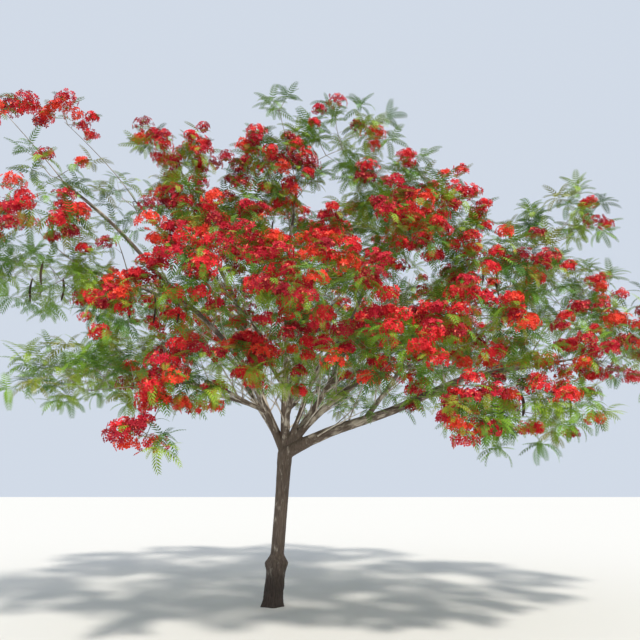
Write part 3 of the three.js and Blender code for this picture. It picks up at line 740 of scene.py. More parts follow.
def bark_material(name, straightened):
    """Brown wrinkles under cream blotches of painted sunlight, with raised pores. The trunk's is darker
    towards its foot, nearly black at the bottom.
    """
    material, tree, surface = new_material(name)
    coordinates = tree.nodes.new("ShaderNodeTexCoord").outputs["Object"]
    grain = coordinates
    if straightened:
        attribute = tree.nodes.new("ShaderNodeAttribute")
        attribute.attribute_name = "straightened"
        grain = attribute.outputs["Vector"]
    wrinkles = add_noise(tree, stretched(tree, grain, (1, 1, 0.16)), WRINKLE_GRAIN, 6)
    blotches = add_noise(tree, stretched(tree, grain, (1, 1, 0.4)), BLOTCH_GRAIN, 5, 0.65)
    pores = add_noise(tree, stretched(tree, grain, (1, 1, 3.2)), PORE_GRAIN, 3)
    brown = add_ramp(tree, wrinkles, [(0.25, DARK_BROWN), (0.55, BROWN), (0.8, LIGHT_BROWN)])
    pale = add_ramp(tree, wrinkles, [(0.3, DULL_CREAM), (0.7, CREAM)])
    height = tree.nodes.new("ShaderNodeSeparateXYZ")
    link(tree, coordinates, height.inputs["Vector"])
    # Where the cream blotches lie: painted flecks of sunlight.
    sun_flecks = add_range(tree, blotches, *(BOUGH_SUN_FLECKS if straightened else TRUNK_SUN_FLECKS))
    colour = add_mix(tree, sun_flecks, brown, pale)
    # The trunk's colour at its foot, darker towards the bottom.
    dark_foot = add_ramp(tree, wrinkles, [(0.3, FOOT_BLACK), (0.75, FOOT_BROWN)])
    if not straightened:
        # dry is here the share of the trunk above its darker foot.
        dry = add_range(tree, height.outputs["Z"], FOOT_DARKEST_BELOW, FOOT_DARK_ENDS_ABOVE)
        colour = add_mix(tree, dry, dark_foot, colour)
    link(tree, colour, surface.inputs["Base Color"])
    surface.inputs["Specular IOR Level"].default_value = BARK_SHINE
    roughness = add_ramp(tree, blotches, [(0.3, ROUGHEST), (0.7, SMOOTHEST)])
    link(tree, roughness, surface.inputs["Roughness"])
    heights = tree.nodes.new("ShaderNodeMath")
    heights.operation = "ADD"
    link(tree, wrinkles, heights.inputs[0])
    link(tree, pores, heights.inputs[1])
    bump = tree.nodes.new("ShaderNodeBump")
    bump.inputs["Strength"].default_value = BARK_RELIEF_STRENGTH
    bump.inputs["Distance"].default_value = BARK_RELIEF
    link(tree, heights.outputs["Value"], bump.inputs["Height"])
    link(tree, bump.outputs["Normal"], surface.inputs["Normal"])
    return material


trunk_bark = bark_material("trunk_bark", straightened=False)
bough_bark = bark_material("bough_bark", straightened=True)

# %% [markdown]
# ## The trunk
# The trunk leans and tapers a little, and stands on a stout, lumpy foot where an old stem was
# cut back and healed over. It could be sculpted, but a radius for each height and heading
# says it all: the same one that the solid has, plus relief. Long wrinkles run upwards, the
# foot is knotty, and faint level rings show where the bark has stretched.

# %% Trunk surface
TRUNK_SIDES = 120
TRUNK_ROWS = 330
FOOT_ROWS = 150
FOOT_TOP = 1.2
FORK_TOP = 3.22
WRINKLE_DEPTH = 0.0018
OLD_WRINKLE_DEPTH = 0.0022
KNOT_DEPTH = 0.0095
RING_DEPTH = 0.0006
OLD_BELOW = 0.7
YOUNG_ABOVE = 1.25

def trunk_relief(points, z):
    """Upright wrinkles and level rings all the way, and knots that fade above the collar."""
    wrinkles = lattice_noise(points, (0.028, 0.028, 0.22), 3)
    wrinkles = wrinkles + 0.6 * lattice_noise(points, (0.014, 0.014, 0.09), 4)
    knots = lattice_noise(points, (0.11, 0.11, 0.13), 5)
    knots = knots + 0.5 * lattice_noise(points, (0.05, 0.05, 0.06), 6)
    rings = lattice_noise(points, (0.3, 0.3, 0.014), 7)
    old = 1 - smooth(OLD_BELOW, YOUNG_ABOVE, z)
    wrinkle_depth = WRINKLE_DEPTH + OLD_WRINKLE_DEPTH * old
    return wrinkle_depth * wrinkles + KNOT_DEPTH * old * knots + RING_DEPTH * rings


def make_trunk():
    """Rings of points at trunk line + (radius + relief) · way, closed by a fan at each end."""
    foot_z = np.linspace(0, FOOT_TOP, FOOT_ROWS, endpoint=False)
    z = np.concatenate([foot_z, np.linspace(FOOT_TOP, FORK_TOP, TRUNK_ROWS - FOOT_ROWS)])
    angle = 2 * math.pi * np.arange(TRUNK_SIDES) / TRUNK_SIDES
    height, heading = np.meshgrid(z, angle, indexing="ij")
    out = np.stack([np.cos(heading), np.sin(heading), 0 * heading], -1)
    radius = trunk_radius(height, heading)
    surface = trunk_line(height) + radius[..., None] * out
    surface = surface + trunk_relief(surface, height)[..., None] * out
    side = np.arange(TRUNK_SIDES)
    after = (side + 1) % TRUNK_SIDES
    low = (TRUNK_SIDES * np.arange(TRUNK_ROWS - 1))[:, None]
    quads = np.stack([low + side, low + after, low + TRUNK_SIDES + after, low + TRUNK_SIDES + side], -1)
    ends = trunk_line(z[[0, -1]])
    points = np.concatenate([surface.reshape(-1, 3), ends])
    last = TRUNK_SIDES * TRUNK_ROWS
    rim = last - TRUNK_SIDES
    foot = np.stack([np.full(TRUNK_SIDES, last), after, side], -1)
    top = np.stack([np.full(TRUNK_SIDES, last + 1), rim + side, rim + after], -1)
    trunk = make_piece("trunk_shaft", points, quads, np.concatenate([foot, top]), [trunk_bark])
    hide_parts("trunk")


make_trunk()

# %% [markdown]
# ## The boughs
# Each bough is one long taper with slight swellings, and old scars that make its outline
# uneven. The grid of a tube along its line gives it, with as many sides as its girth needs,
# and the last rings close to a rounded tip from which the stems of its masses go on.

# %% Bough surfaces
RING_SPACING = 0.045
STOUT_RADIUS = 0.09
STOUT_SIDES = 26
SLIM_SIDES = 18
TIP_ROUNDING = 0.02
PATTERN_APART = 7.0
LUMP_SHARE = 0.075
SMALL_LUMP_SHARE = 0.04
BOUGH_WRINKLE_DEPTH = 0.0016

def line_length(points):
    """The sum of the lengths of a line's steps."""
    return np.linalg.norm(np.diff(points, axis=0), axis=1).sum()


def make_bough(name):
    """Rings of radius · (1 + lumps) + wrinkles along the bough's curve. The noise is read where the
    bough would be if it stood straight, and the last rings follow a quarter circle."""
    limb = limbs[name]
    length = line_length(limb["points"])
    rings = int(length / RING_SPACING)
    sides = STOUT_SIDES if BOUGHS[name]["radius"] > STOUT_RADIUS else SLIM_SIDES
    line = spaced(limb["curve"], rings - 1)
    share = np.linspace(0, 1, rings)
    angle = 2 * math.pi * np.arange(sides) / sides
    radius = bough_radius(BOUGHS[name]["radius"], share)
    run = np.broadcast_to((share * length)[:, None], (rings, sides))
    straight = np.stack([radius[:, None] * np.cos(angle), radius[:, None] * np.sin(angle), run], -1)
    place = straight + PATTERN_APART * list(BOUGHS).index(name)
    lumps = LUMP_SHARE * lattice_noise(place, (0.16, 0.16, 0.30), 11)
    lumps = lumps + SMALL_LUMP_SHARE * lattice_noise(place, (0.05, 0.05, 0.09), 12)
    wrinkles = BOUGH_WRINKLE_DEPTH * lattice_noise(place, (0.02, 0.02, 0.14), 13)
    close = np.sqrt(np.clip(1 - ((share - 1) * length / TIP_ROUNDING + 1) ** 2, 0, 1))
    close = np.where((1 - share) * length > TIP_ROUNDING, 1, close)
    full = (radius[:, None] * (1 + lumps) + wrinkles) * close[:, None]
    points, quads, triangles = tubes(line[None], full[None], sides)
    piece = make_piece("bark_" + name, points, quads, triangles, [bough_bark])
    kept = np.concatenate([place.reshape(-1, 3), place[0, :1], place[-1, :1]])
    attribute = piece.data.attributes.new("straightened", "FLOAT_VECTOR", "POINT")
    attribute.data.foreach_set("vector", kept.astype(np.float32).ravel())
    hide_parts(name)


for name in BOUGHS:
    make_bough(name)

# %% [markdown]
# ## The fork
# Where the limbs leave the trunk their bark has grown together into one smooth crotch.
# Separate tubes would meet in sharp creases, and a Boolean union would keep them. So the top
# of the trunk and the first stretch of each limb are turned into one skin by a remesh, and
# the skin is smoothed. Its far edges sink into the trunk and the limbs.

# %% One skin over the fork
FORK_FOOT = 2.72
FORK_STUB = 0.95
FORK_CELL = 0.013
FORK_SMOOTHING = 14

def make_fork():
    """Tubes a little fuller than the trunk's top and each limb's first stretch, made one skin."""
    z = np.linspace(FORK_FOOT, FORK_TOP + 0.03, 14)
    swell = 0.93 + 0.12 * smooth(FORK_FOOT, FORK_FOOT + 0.25, z)
    parts = [tubes(trunk_line(z)[None], (trunk_radius(z, PLAIN_HEADING) * swell)[None], 32)]
    for name, row in BOUGHS.items():
        if row["from"] != "trunk":
            continue
        line = spaced(limbs[name]["curve"], 160)
        run = np.concatenate([[0], np.cumsum(np.linalg.norm(np.diff(line, axis=0), axis=1))])
        near = run < FORK_STUB
        swell = 1.10 - 0.24 * smooth(0.45 * FORK_STUB, FORK_STUB, run[near])
        radii = bough_radius(row["radius"], run[near] / run[-1]) * swell
        parts.append(tubes(line[None, near], radii[None], 20))
    fork = make_piece("fork_skin", *join_parts(parts), [trunk_bark])
    skin = fork.modifiers.new("one skin", "REMESH")
    skin.mode = "VOXEL"
    skin.voxel_size = FORK_CELL
    skin.use_smooth_shade = True
    even = fork.modifiers.new("grown together", "SMOOTH")
    even.factor = 0.5
    even.iterations = FORK_SMOOTHING
    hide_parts("trunk")


make_fork()

# %% [markdown]
# ## Finer wood
# The solids stop at twigs as thick as a finger, and a real tree goes on to wood as thin as a
# pencil. This finer wood has a stream of numbers of its own, so the twigs stay where the
# solids have them. Some masses flower more or less at their shoots than at their twigs, and
# for those the share is given here.

# %% Ways, lines and the share of blossom
SHOOT_BLOOM = {
    "southwest_tail": 1.0,
    "southwest_hang": 1.0,
    "southeast_hang": 0.8,
    "east_hang": 0.6,
    "west_high": 1.0,
    "west_whip": 1.0,
    "west_mid": 0.3,
    "top_mid": 0.9,
    "top_right": 0.5,
    "east_top": 0.65,
    "east_middle": 0.45,
    "east_edge": 0.3,
    "east_far": 0.9,
    "back_east": 0.4,
    "back_east_top": 0.6,
    "back_northeast": 0.65,
    "back_north_top": 0.8,
    "back_north": 0.75,
    "back_northwest": 0.75,
    "back_west": 0.7,
}
FINE_SEED = SEED + 3
fine = np.random.default_rng(FINE_SEED)

def spray_ways(ways, angles, spread):
    """Directions that open from each way by spread, turned round it by angle."""
    beside = unit(np.cross(ways, np.where(np.abs(ways[:, 2:]) > 0.9, [1.0, 0.0, 0.0], [0.0, 0.0, 1.0])))
    across = np.cross(ways, beside)
    ring = np.cos(angles)[:, None] * beside + np.sin(angles)[:, None] * across
    return unit(np.cos(spread)[:, None] * ways + np.sin(spread)[:, None] * ring)


def bent_lines(starts, ends, sag, steps):
    """Lines that bow upwards or sideways: start + t · (end - start) + 4t(1 - t) · sag."""
    t = np.linspace(0, 1, steps)[:, None]
    return starts[:, None] + t * (ends - starts)[:, None] + 4 * t * (1 - t) * sag[:, None]


def bloom_of(name):
    """The share of a mass's shoots that flower."""
    return SHOOT_BLOOM.get(name, MASSES[name]["bloom"])


# %% [markdown]
# ## Side branches
# Behind the masses, thin side branches leave each bough by golden angles. The ones nearest
# the fork stand in the shade, so they have dried out and lost nearly all their leaves. Further
# out they are shorter and in leaf, and they belong to the nearest mass of their bough.

# %% Growing the side branches
BOUGH_MARKS = 60
BARE_FROM = 0.10
LEAFY_FROM = 0.36
LEAFY_TO = 0.97
BRANCH_SPACING = 0.40
SPARSE_BOUGHS = ("bough_west", "bough_west_whip")
SPARSE_SPACING = 1.3
BARE_SPACING = 0.20
BRANCH_LENGTH = 0.95
BARE_LENGTH = 1.35
BRANCH_LIFT = 0.35
BARE_LIFT = 0.5
BARE_RISE = 0.1
BRANCH_MARGIN = 0.5
BRANCH_CLEARANCE = 0.15
BRANCH_RADIUS = 0.016
BARE_RADIUS = 0.019

def side_branches():
    """For each mass, thin branches that leave its bough behind it, by golden angles and towards the
    light. Nearer the fork they are longer and have lost their leaves."""
    found = {name: [] for name in MASSES}
    low, high = np.array(cad_low) + BRANCH_MARGIN, np.array(cad_high) - BRANCH_MARGIN
    for name in BOUGHS:
        limb = limbs[name]
        line = spaced(limb["curve"], BOUGH_MARKS)
        length = line_length(line)
        bare_count = int(length * (LEAFY_FROM - BARE_FROM) / BARE_SPACING)
        spacing = SPARSE_SPACING if name in SPARSE_BOUGHS else BRANCH_SPACING
        leafy_count = int(length * (LEAFY_TO - LEAFY_FROM) / spacing)
        others = bars_of([other for key, other in limbs.items() if key != name])
        for k in range(bare_count + leafy_count):
            bare = k < bare_count
            place, count = (k, bare_count) if bare else (k - bare_count, leafy_count)
            first, last = (BARE_FROM, LEAFY_FROM) if bare else (LEAFY_FROM, LEAFY_TO)
            share = first + (last - first) * ((place + fine.uniform(0.2, 0.8)) / count)
            mark = int(share * BOUGH_MARKS)
            foot = line[mark]
            ahead = unit(line[mark + 1] - foot)
            turn = GOLDEN_ANGLE * np.array([k + 0.3])
            way = spray_ways(ahead[None], turn, fine.uniform(0.6, 1.05, 1))[0]
            reach = (BARE_LENGTH if bare else BRANCH_LENGTH) * fine.uniform(0.55, 1.3)
            tip = foot + reach * unit(way + (BARE_LIFT if bare else BRANCH_LIFT) * UP)
            drops = bare and tip[2] < foot[2] + BARE_RISE
            outside = (tip < low).any() or (tip > high).any()
            if drops or outside or nearest_wood(tip[None], others)[0] < BRANCH_CLEARANCE:
                continue
            owner = min(limb["carried"], key=lambda key: np.linalg.norm(MASSES[key]["middle"] - tip))
            thickest = BARE_RADIUS if bare else BRANCH_RADIUS
            radius = min(0.45 * bough_radius(BOUGHS[name]["radius"], share), thickest)
            branch = {"points": np.array([foot, tip]), "radii": np.array([radius, 0]), "bare": bare}
            found[owner].append({**branch, "flowers": fine.random() < 0.4 * bloom_of(owner)})
    return found


branches = side_branches()
print(sum(len(some) for some in branches.values()), "side branches")

# %% [markdown]
# ## Shoots
# Each twig carries several shoots, and leaves and blossom crowd at the shoots' ends. The
# shoots follow the twigs' rule again: they leave by golden angles, lean towards the light, and
# one that would leave its mass's space, the crown's reach or clear air is skipped. Shoots of
# some masses droop instead, those that hang most of all.

# %% Shoots and their ends
SHOOTS_PER_TWIG = 5
THIN_MASSES = {
    "west_high": 2,
    "west_whip": 2,
    "west_mid": 1,
    "west_band": 4,
    "northwest_top": 2,
    "top": 1,
    "top_left": 4,
    "top_mid": 5,
    "top_right": 3,
    "east_far_top": 3,
    "southwest_tail": 2,
    "southwest_hang": 3,
    "southeast_hang": 3,
    "front_left": 6,
    "middle": 6,
}
DROOP = {
    "southwest_tail": (-1.1, 0, -0.9),
    "southwest_hang": (-0.2, 0, -0.8),
    "southeast_hang": (0.4, 0, -0.8),
    "east_hang": (0, 0, -0.6),
    "top_left": (0, 0, -0.35),
    "west_band": (0, 0, -0.35),
    "west_high": (0, 0, -0.2),
    "west_whip": (0, 0, -0.2),
}
SHOOTS_PER_STEM = 4
SHOOTS_PER_BRANCH = 2
SHOOT_LENGTH = 0.50
SHOOT_SIZES = (0.6, 1.25)
HEADS_OPEN = 0.90
SHOOT_RISE = 0.18
DRY_RISE = 0.6
OUTWARD_PULL = 0.35
SHOOT_ANGLES = (0.55, 1.05)
SHOOTS_FROM = 0.42
SHOOTS_SPAN = 0.52
SHOOT_ON_STEM = 0.006
THINNEST_SHOOT = 0.0035
SHOOT_SAG = 0.06
SHOOT_SPILL = 0.10
SHOOT_CLEARANCE = 0.12
TWIG_ARCH = 0.04
TWIG_WANDER = 0.05
DRY_WANDER = 0.11
DEALT_AGAIN = 0.22
OWN_BLOOM_DEALT = 0.6
BARE_ENDS_LEAFY = 0.15
REACH_MARGIN = 0.18

def grow_shoots(name):
    """Lines of the mass's twigs, lines of its shoots, and an end with its way and kind for each."""
    row = MASSES[name]
    twigs = grown[name][1:] + branches[name]
    own = len(grown[name]) - 1
    walls = walls_of(name)
    starts = np.array([twig["points"][0] for twig in twigs])
    ends = np.array([twig["points"][1] for twig in twigs])
    radii = np.array([twig["radii"][0] for twig in twigs])
    bare = np.array([twig.get("bare", False) for twig in twigs])
    length = np.linalg.norm(ends - starts, axis=1, keepdims=True)
    wander = np.where(bare, DRY_WANDER, TWIG_WANDER)[:, None]
    sag = length * (wander * fine.uniform(-1, 1, (len(twigs), 3)) + TWIG_ARCH * UP)
    twig_lines = bent_lines(starts, ends, sag, 7)

    per_twig = THIN_MASSES.get(name, SHOOTS_PER_TWIG)
    per_stem = min(per_twig, SHOOTS_PER_STEM)
    counts = np.where(np.arange(len(twigs)) < own, per_twig, min(per_twig, SHOOTS_PER_BRANCH))
    hosts = np.repeat(np.arange(len(twigs)), counts)
    order = np.concatenate([np.arange(n) for n in counts])
    share = SHOOTS_FROM + SHOOTS_SPAN * (order + fine.uniform(0.2, 0.8, len(hosts))) / counts[hosts]
    at = share * 6
    index = np.minimum(at.astype(int), 5)
    part = (at - index)[:, None]
    bases = twig_lines[hosts, index] * (1 - part) + twig_lines[hosts, index + 1] * part
    ways = unit(ends - starts)[hosts]

    stem = spaced(stems[name]["curve"], 12)
    picks = np.linspace(5, 11, per_stem).astype(int)
    stem_ways = unit(stem[picks + 1] - stem[picks])
    bases = np.concatenate([bases, stem[picks]])
    ways = np.concatenate([ways, stem_ways])
    flowering = np.array([twig["flowers"] for twig in twigs])
    bloom = bloom_of(name)
    flowers = np.concatenate([flowering[hosts], fine.random(per_stem) < bloom])
    foot = np.concatenate([0.5 * radii[hosts] * (1 - 0.6 * share), np.full(per_stem, SHOOT_ON_STEM)])

    angles = GOLDEN_ANGLE * np.arange(len(bases)) + fine.uniform(0, 0.6, len(bases))
    ways = spray_ways(ways, angles, fine.uniform(*SHOOT_ANGLES, len(bases)))
    outward = unit(bases - row["middle"])
    on_bare = np.concatenate([bare[hosts], np.full(per_stem, False)])
    pull = np.where(on_bare[:, None], DRY_RISE * UP, DROOP.get(name, SHOOT_RISE * UP))
    ways = unit(ways + OUTWARD_PULL * outward + pull)
    crowding = min(1, 0.4 + 0.2 * per_twig)
    sizes = fine.uniform(*SHOOT_SIZES, len(bases))
    long = SHOOT_LENGTH * sizes * (0.6 + 0.4 * row["spread"]) * crowding
    tips = bases + long[:, None] * ways
    dealt_again = OWN_BLOOM_DEALT if name in SHOOT_BLOOM else DEALT_AGAIN
    flowers = np.where(fine.random(len(bases)) < dealt_again, fine.random(len(bases)) < bloom, flowers)
    opened = 1 if bloom == 1 else HEADS_OPEN * (0.55 + 0.5 * bloom)
    flowers = flowers & (fine.random(len(bases)) < opened)

    bars = bars_of(list(limbs.values()))
    low = np.array(cad_low) + REACH_MARGIN
    high = np.array(cad_high) - REACH_MARGIN
    free = np.concatenate([hosts >= own, np.full(per_stem, False)])
    keep = (free | inside(tips, walls, SHOOT_SPILL)) & (nearest_wood(tips, bars) > SHOOT_CLEARANCE)
    keep = keep & (tips > low).all(1) & (tips < high).all(1)
    bases, tips, ways, flowers, foot = bases[keep], tips[keep], ways[keep], flowers[keep], foot[keep]
    shoot_sag = SHOOT_SAG * long[keep][:, None] * (fine.uniform(-1, 1, (len(bases), 3)) - 0.3 * UP)
    on_bare = on_bare[keep]
    dressed = ~np.concatenate([bare, on_bare]) | (fine.random(len(twigs) + len(bases)) < BARE_ENDS_LEAFY)
    return {
        "twig_lines": twig_lines,
        "twig_feet": radii,
        "twig_dry": bare,
        "shoot_dry": on_bare,
        "shoot_lines": bent_lines(bases, tips, shoot_sag, 5),
        "shoot_feet": np.maximum(foot, THINNEST_SHOOT),
        "ends": np.concatenate([ends, tips])[dressed],
        "ways": np.concatenate([unit(ends - starts), ways])[dressed],
        "flowers": np.concatenate([flowering, flowers])[dressed],
    }


shoots = {name: grow_shoots(name) for name in MASSES}
end_count = sum(len(one["ends"]) for one in shoots.values())
flower_count = sum(int(one["flowers"].sum()) for one in shoots.values())
print(end_count, "ends,", flower_count, "of them in flower")

# %% [markdown]
# ## Sides of the crown
# All the thin wood of one side of the crown is one piece, and so are its leaves and its
# blossom. One piece for the whole crown would be too heavy to handle, and one for each twig
# would be too many to keep track of.

# %% Sorting the masses by side
SIDES = {
    "back": (75, 150),
    "west": (150, 225),
    "front": (225, 315),
    "east": (315, 375),
    "northeast": (375, 435),
}
FIRST_HEADING = 75

def side_of(name):
    """The side whose headings hold the mass's own, counted on from the first side's."""
    heading = MASSES[name]["heading"]
    heading = heading + 360 if heading < FIRST_HEADING else heading
    return next(side for side, (low, high) in SIDES.items() if low <= heading < high)


members = {side: [name for name in MASSES if side_of(name) == side] for side in SIDES}
print({side: len(names) for side, names in members.items()})

# %% [markdown]
# ## Thin wood
# Stems, twigs and shoots taper from a thumb's thickness to that of a straw. Living ones are
# grey-brown and smooth, with paler blotches that are painted sunlight. The old ones near the fork,
# which have lost their leaves in the shade, are painted almost cream, as bare wood looks in
# sunlight, and draw pale lines through the open middle of the crown. So each tube of the joined
# piece takes one of two finishes.

# %% Twigs of each side
STEM_SUNK = 0.03
WOOD_ROUGHNESS = 0.8
TWIG_DARK = (0.115, 0.09, 0.07)
# TWIG_LIGHT, the paler blotches of living twigs, is painted sunlight.
TWIG_LIGHT = (0.40, 0.345, 0.275)
# The pale cream of the dry wood is painted sunlight on bare branches.
SUNLIT_DRY_DARK = (0.36, 0.30, 0.24)
SUNLIT_DRY_LIGHT = (0.72, 0.65, 0.55)

def wood_material(name, dark, light):
    """Two shades of thin, smooth bark in soft blotches."""
    material, tree, surface = new_material(name)
    coordinates = tree.nodes.new("ShaderNodeTexCoord").outputs["Object"]
    blotches = add_noise(tree, coordinates, 6, 4)
    link(tree, add_ramp(tree, blotches, [(0.38, dark), (0.58, light)]), surface.inputs["Base Color"])
    surface.inputs["Roughness"].default_value = WOOD_ROUGHNESS
    return material


twig_bark = wood_material("twig_bark", TWIG_DARK, TWIG_LIGHT)
# The dry wood's finish: bare wood painted cream, as sunlight makes it look.
sunlit_dry_bark = wood_material("sunlit_dry_bark", SUNLIT_DRY_DARK, SUNLIT_DRY_LIGHT)

def tapered(feet, steps, tip):
    """Radii that fall from each foot to the tip's share of it."""
    return feet[:, None] * (1 - (1 - tip) * np.linspace(0, 1, steps))


def make_twigs(side):
    """Tubes along the stems, twigs and shoots of a side, each tube living or dry."""
    names = members[side]
    stem_lines = np.array([spaced(stems[name]["curve"], 9) for name in names])
    lead = unit(stem_lines[:, 1] - stem_lines[:, 0])
    stem_lines[:, 0] -= STEM_SUNK * lead
    feet = np.array([stems[name]["radii"][0] for name in names])
    parts = [tubes(stem_lines, tapered(feet, 10, 0.45), 8)]
    finish = [0]
    for kind, steps, tip, sides in (("twig", 7, 0.35, 6), ("shoot", 5, 0.5, 4)):
        lines = np.concatenate([shoots[name][kind + "_lines"] for name in names])
        feet = np.concatenate([shoots[name][kind + "_feet"] for name in names])
        dry = np.concatenate([shoots[name][kind + "_dry"] for name in names])
        for pick in (~dry, dry):
            if pick.any():
                parts.append(tubes(lines[pick], tapered(feet[pick], steps, tip), sides))
                finish.append(int(dry[pick][0]))
    # Dry tubes take the finish of painted sunlight.
    shades = np.concatenate([np.repeat(finish, [len(part[faces]) for part in parts]) for faces in (1, 2)])
    piece = make_piece("twigs_" + side, *join_parts(parts), [twig_bark, sunlit_dry_bark], shades)
    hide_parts(*("mass_" + name for name in names))


for side in SIDES:
    make_twigs(side)

# %% [markdown]
# ## Leaves
# A leaf is as long as a forearm and divided twice: pairs of side ribs, each lined with tiny
# leaflets, stand along the middle rib like the barbs of a feather. Here eight pairs stand for
# the dozen or more of a real leaf, and each side rib with its leaflets is one narrow, folded
# blade of two faces, so a leaf has its feathery outline with 37 faces. The middle rib arches
# and droops under its own weight.

# %% The pattern of one leaf
LEAF_LENGTH = 0.44
BLADE_PAIRS = 8
BLADE_LENGTH = 0.27
BLADE_WIDTH = 0.14
BLADE_DROOP = 0.24
BLADE_FOLD = 0.012
FIRST_BLADE = 0.14
LAST_BLADE = 0.96
LEAF_CURLS = (38, 62, 88)
RIB_STEPS = 40

def leaf_pattern(curl):
    """Points and triangles of a leaf of length 1 along +X. The rib's slope falls from 0 by the
    curl, in radians, over its length, so its line is the sum of (cos slope, -sin slope). Blades
    are longest in its middle."""
    slope = curl * np.linspace(0, 1, RIB_STEPS + 1)
    run = np.stack([np.cos(slope), 0 * slope, -np.sin(slope)], -1) / RIB_STEPS
    rib = np.concatenate([[[0, 0, 0]], np.cumsum(run, axis=0)])[: RIB_STEPS + 1]
    along = np.linspace(0, 1, RIB_STEPS + 1)
    at = np.linspace(FIRST_BLADE, LAST_BLADE, BLADE_PAIRS)
    place = np.stack([np.interp(at, along, rib[:, axis]) for axis in range(3)], -1)
    tilt = curl * at
    ahead = np.stack([np.cos(tilt), 0 * tilt, -np.sin(tilt)], -1)
    long = BLADE_LENGTH * np.sin(math.pi * (0.14 + 0.78 * at)) ** 0.6
    lean = np.radians(66 - 26 * at)
    points, triangles = [], []
    for side in (-1, 1):
        way = np.cos(lean)[:, None] * ahead + np.sin(lean)[:, None] * np.array([0, side, 0])
        across = np.cross(way, np.cross(ahead, [0, side, 0]))
        middle = place + 0.30 * long[:, None] * way
        width = BLADE_WIDTH * long[:, None]
        tip = place + long[:, None] * way - [0, 0, 1] * (BLADE_DROOP * long[:, None])
        blade = np.stack([place, middle + width * across, tip, middle - width * across], 1)
        blade[:, [1, 3], 2] -= BLADE_FOLD
        corner = 4 * np.arange(BLADE_PAIRS)[:, None] + 4 * BLADE_PAIRS * (side == 1)
        points.append(blade.reshape(-1, 3))
        faces = ([0, 1, 2], [0, 2, 3]) if side == 1 else ([0, 2, 1], [0, 3, 2])
        triangles += [corner + face for face in faces]
    stations = rib[[0, 13, 26, 39]]
    half = np.array([0.011, 0.008, 0.006])[:, None] * [0, 1, 0]
    strip = np.concatenate([stations[:3] + half, stations[:3] - half, stations[3:]])
    first = 8 * BLADE_PAIRS
    rib_faces = first + np.array([[0, 3, 4], [0, 4, 1], [1, 4, 5], [1, 5, 2], [2, 5, 6]])
    return np.concatenate([*points, strip]), np.concatenate([*triangles, rib_faces])


patterns = [leaf_pattern(math.radians(curl)) for curl in LEAF_CURLS]
print("a leaf has", len(patterns[0][1]), "faces")

# %% [markdown]
# ## Sprays of leaves
# Leaves leave a shoot's end all round, the youngest upright and the oldest level or hanging,
# so an end looks like a small umbrella. Colour belongs to a spray: young ones are yellow-green
# and old ones deep green, and the palest greens are also painted sunlight and the deepest
# painted shade, dealt at random. Each spray takes one plain green, which stays where it is in
# any view.

# %% Leaves of each side
LEAVES_PER_END = 11
AIRY_MASSES = ("west_mid", "northwest_top", "west_band", "west_whip", "west_high")
AIRY_LEAVES_PER_END = 5
LEAVES_PER_HEAD = 4
LEAFLESS_HEADS = ("west_high", "west_whip", "southwest_tail")
HEAD_CLEARANCE = 0.12
YOUNGEST_RISE = 62
RISE_RANGE = 78
LOWER_UNDER_HEAD = 20
RISE_UNEVEN = 10
LEAF_BACK = 0.16
LEAF_TILT = 0.25
LEAF_SIZES = (0.65, 1.15)
# Besides young and old leaves, the yellow-greens are partly painted sunlight and the deepest green is
# painted shade.
GREENS = [
    (0.29, 0.42, 0.035),
    (0.19, 0.35, 0.028),
    (0.12, 0.26, 0.026),
    (0.07, 0.165, 0.022),
    (0.27, 0.29, 0.03),
]
GREEN_SHARES = [0.25, 0.31, 0.22, 0.11, 0.11]
LEAF_ROUGHNESS = 0.6
LEAF_CRINKLE = 0.35
LEAF_GRAIN = 160
SOFT_SHINE = 0.25
CRINKLE_RELIEF = 0.004

def plain_material(name, colour, roughness, crinkle, scale):
    """A plain colour with a fine crinkle that the light picks up."""
    material, tree, surface = new_material(name)
    surface.inputs["Base Color"].default_value = (*colour, 1)
    surface.inputs["Roughness"].default_value = roughness
    surface.inputs["Specular IOR Level"].default_value = SOFT_SHINE
    coordinates = tree.nodes.new("ShaderNodeTexCoord").outputs["Object"]
    bump = tree.nodes.new("ShaderNodeBump")
    bump.inputs["Strength"].default_value = crinkle
    bump.inputs["Distance"].default_value = CRINKLE_RELIEF
    link(tree, add_noise(tree, coordinates, scale, 2), bump.inputs["Height"])
    link(tree, bump.outputs["Normal"], surface.inputs["Normal"])
    return material


leaf_greens = [
    plain_material(f"leaf_green_{i + 1}", colour, LEAF_ROUGHNESS, LEAF_CRINKLE, LEAF_GRAIN)
    for i, colour in enumerate(GREENS)
]

def place_copies(pattern, centres, ahead, aside, sizes):
    """Each copy's points are centre + size · (x · ahead + y · aside + z · above)."""
    points, triangles = pattern
    axes = np.stack([ahead, aside, np.cross(ahead, aside)], 1)
    placed = centres[:, None] + sizes[:, None, None] * np.einsum("vi,nij->nvj", points, axes)
    shift = len(points) * np.arange(len(centres))[:, None, None]
    return placed.reshape(-1, 3), (triangles + shift).reshape(-1, 3)


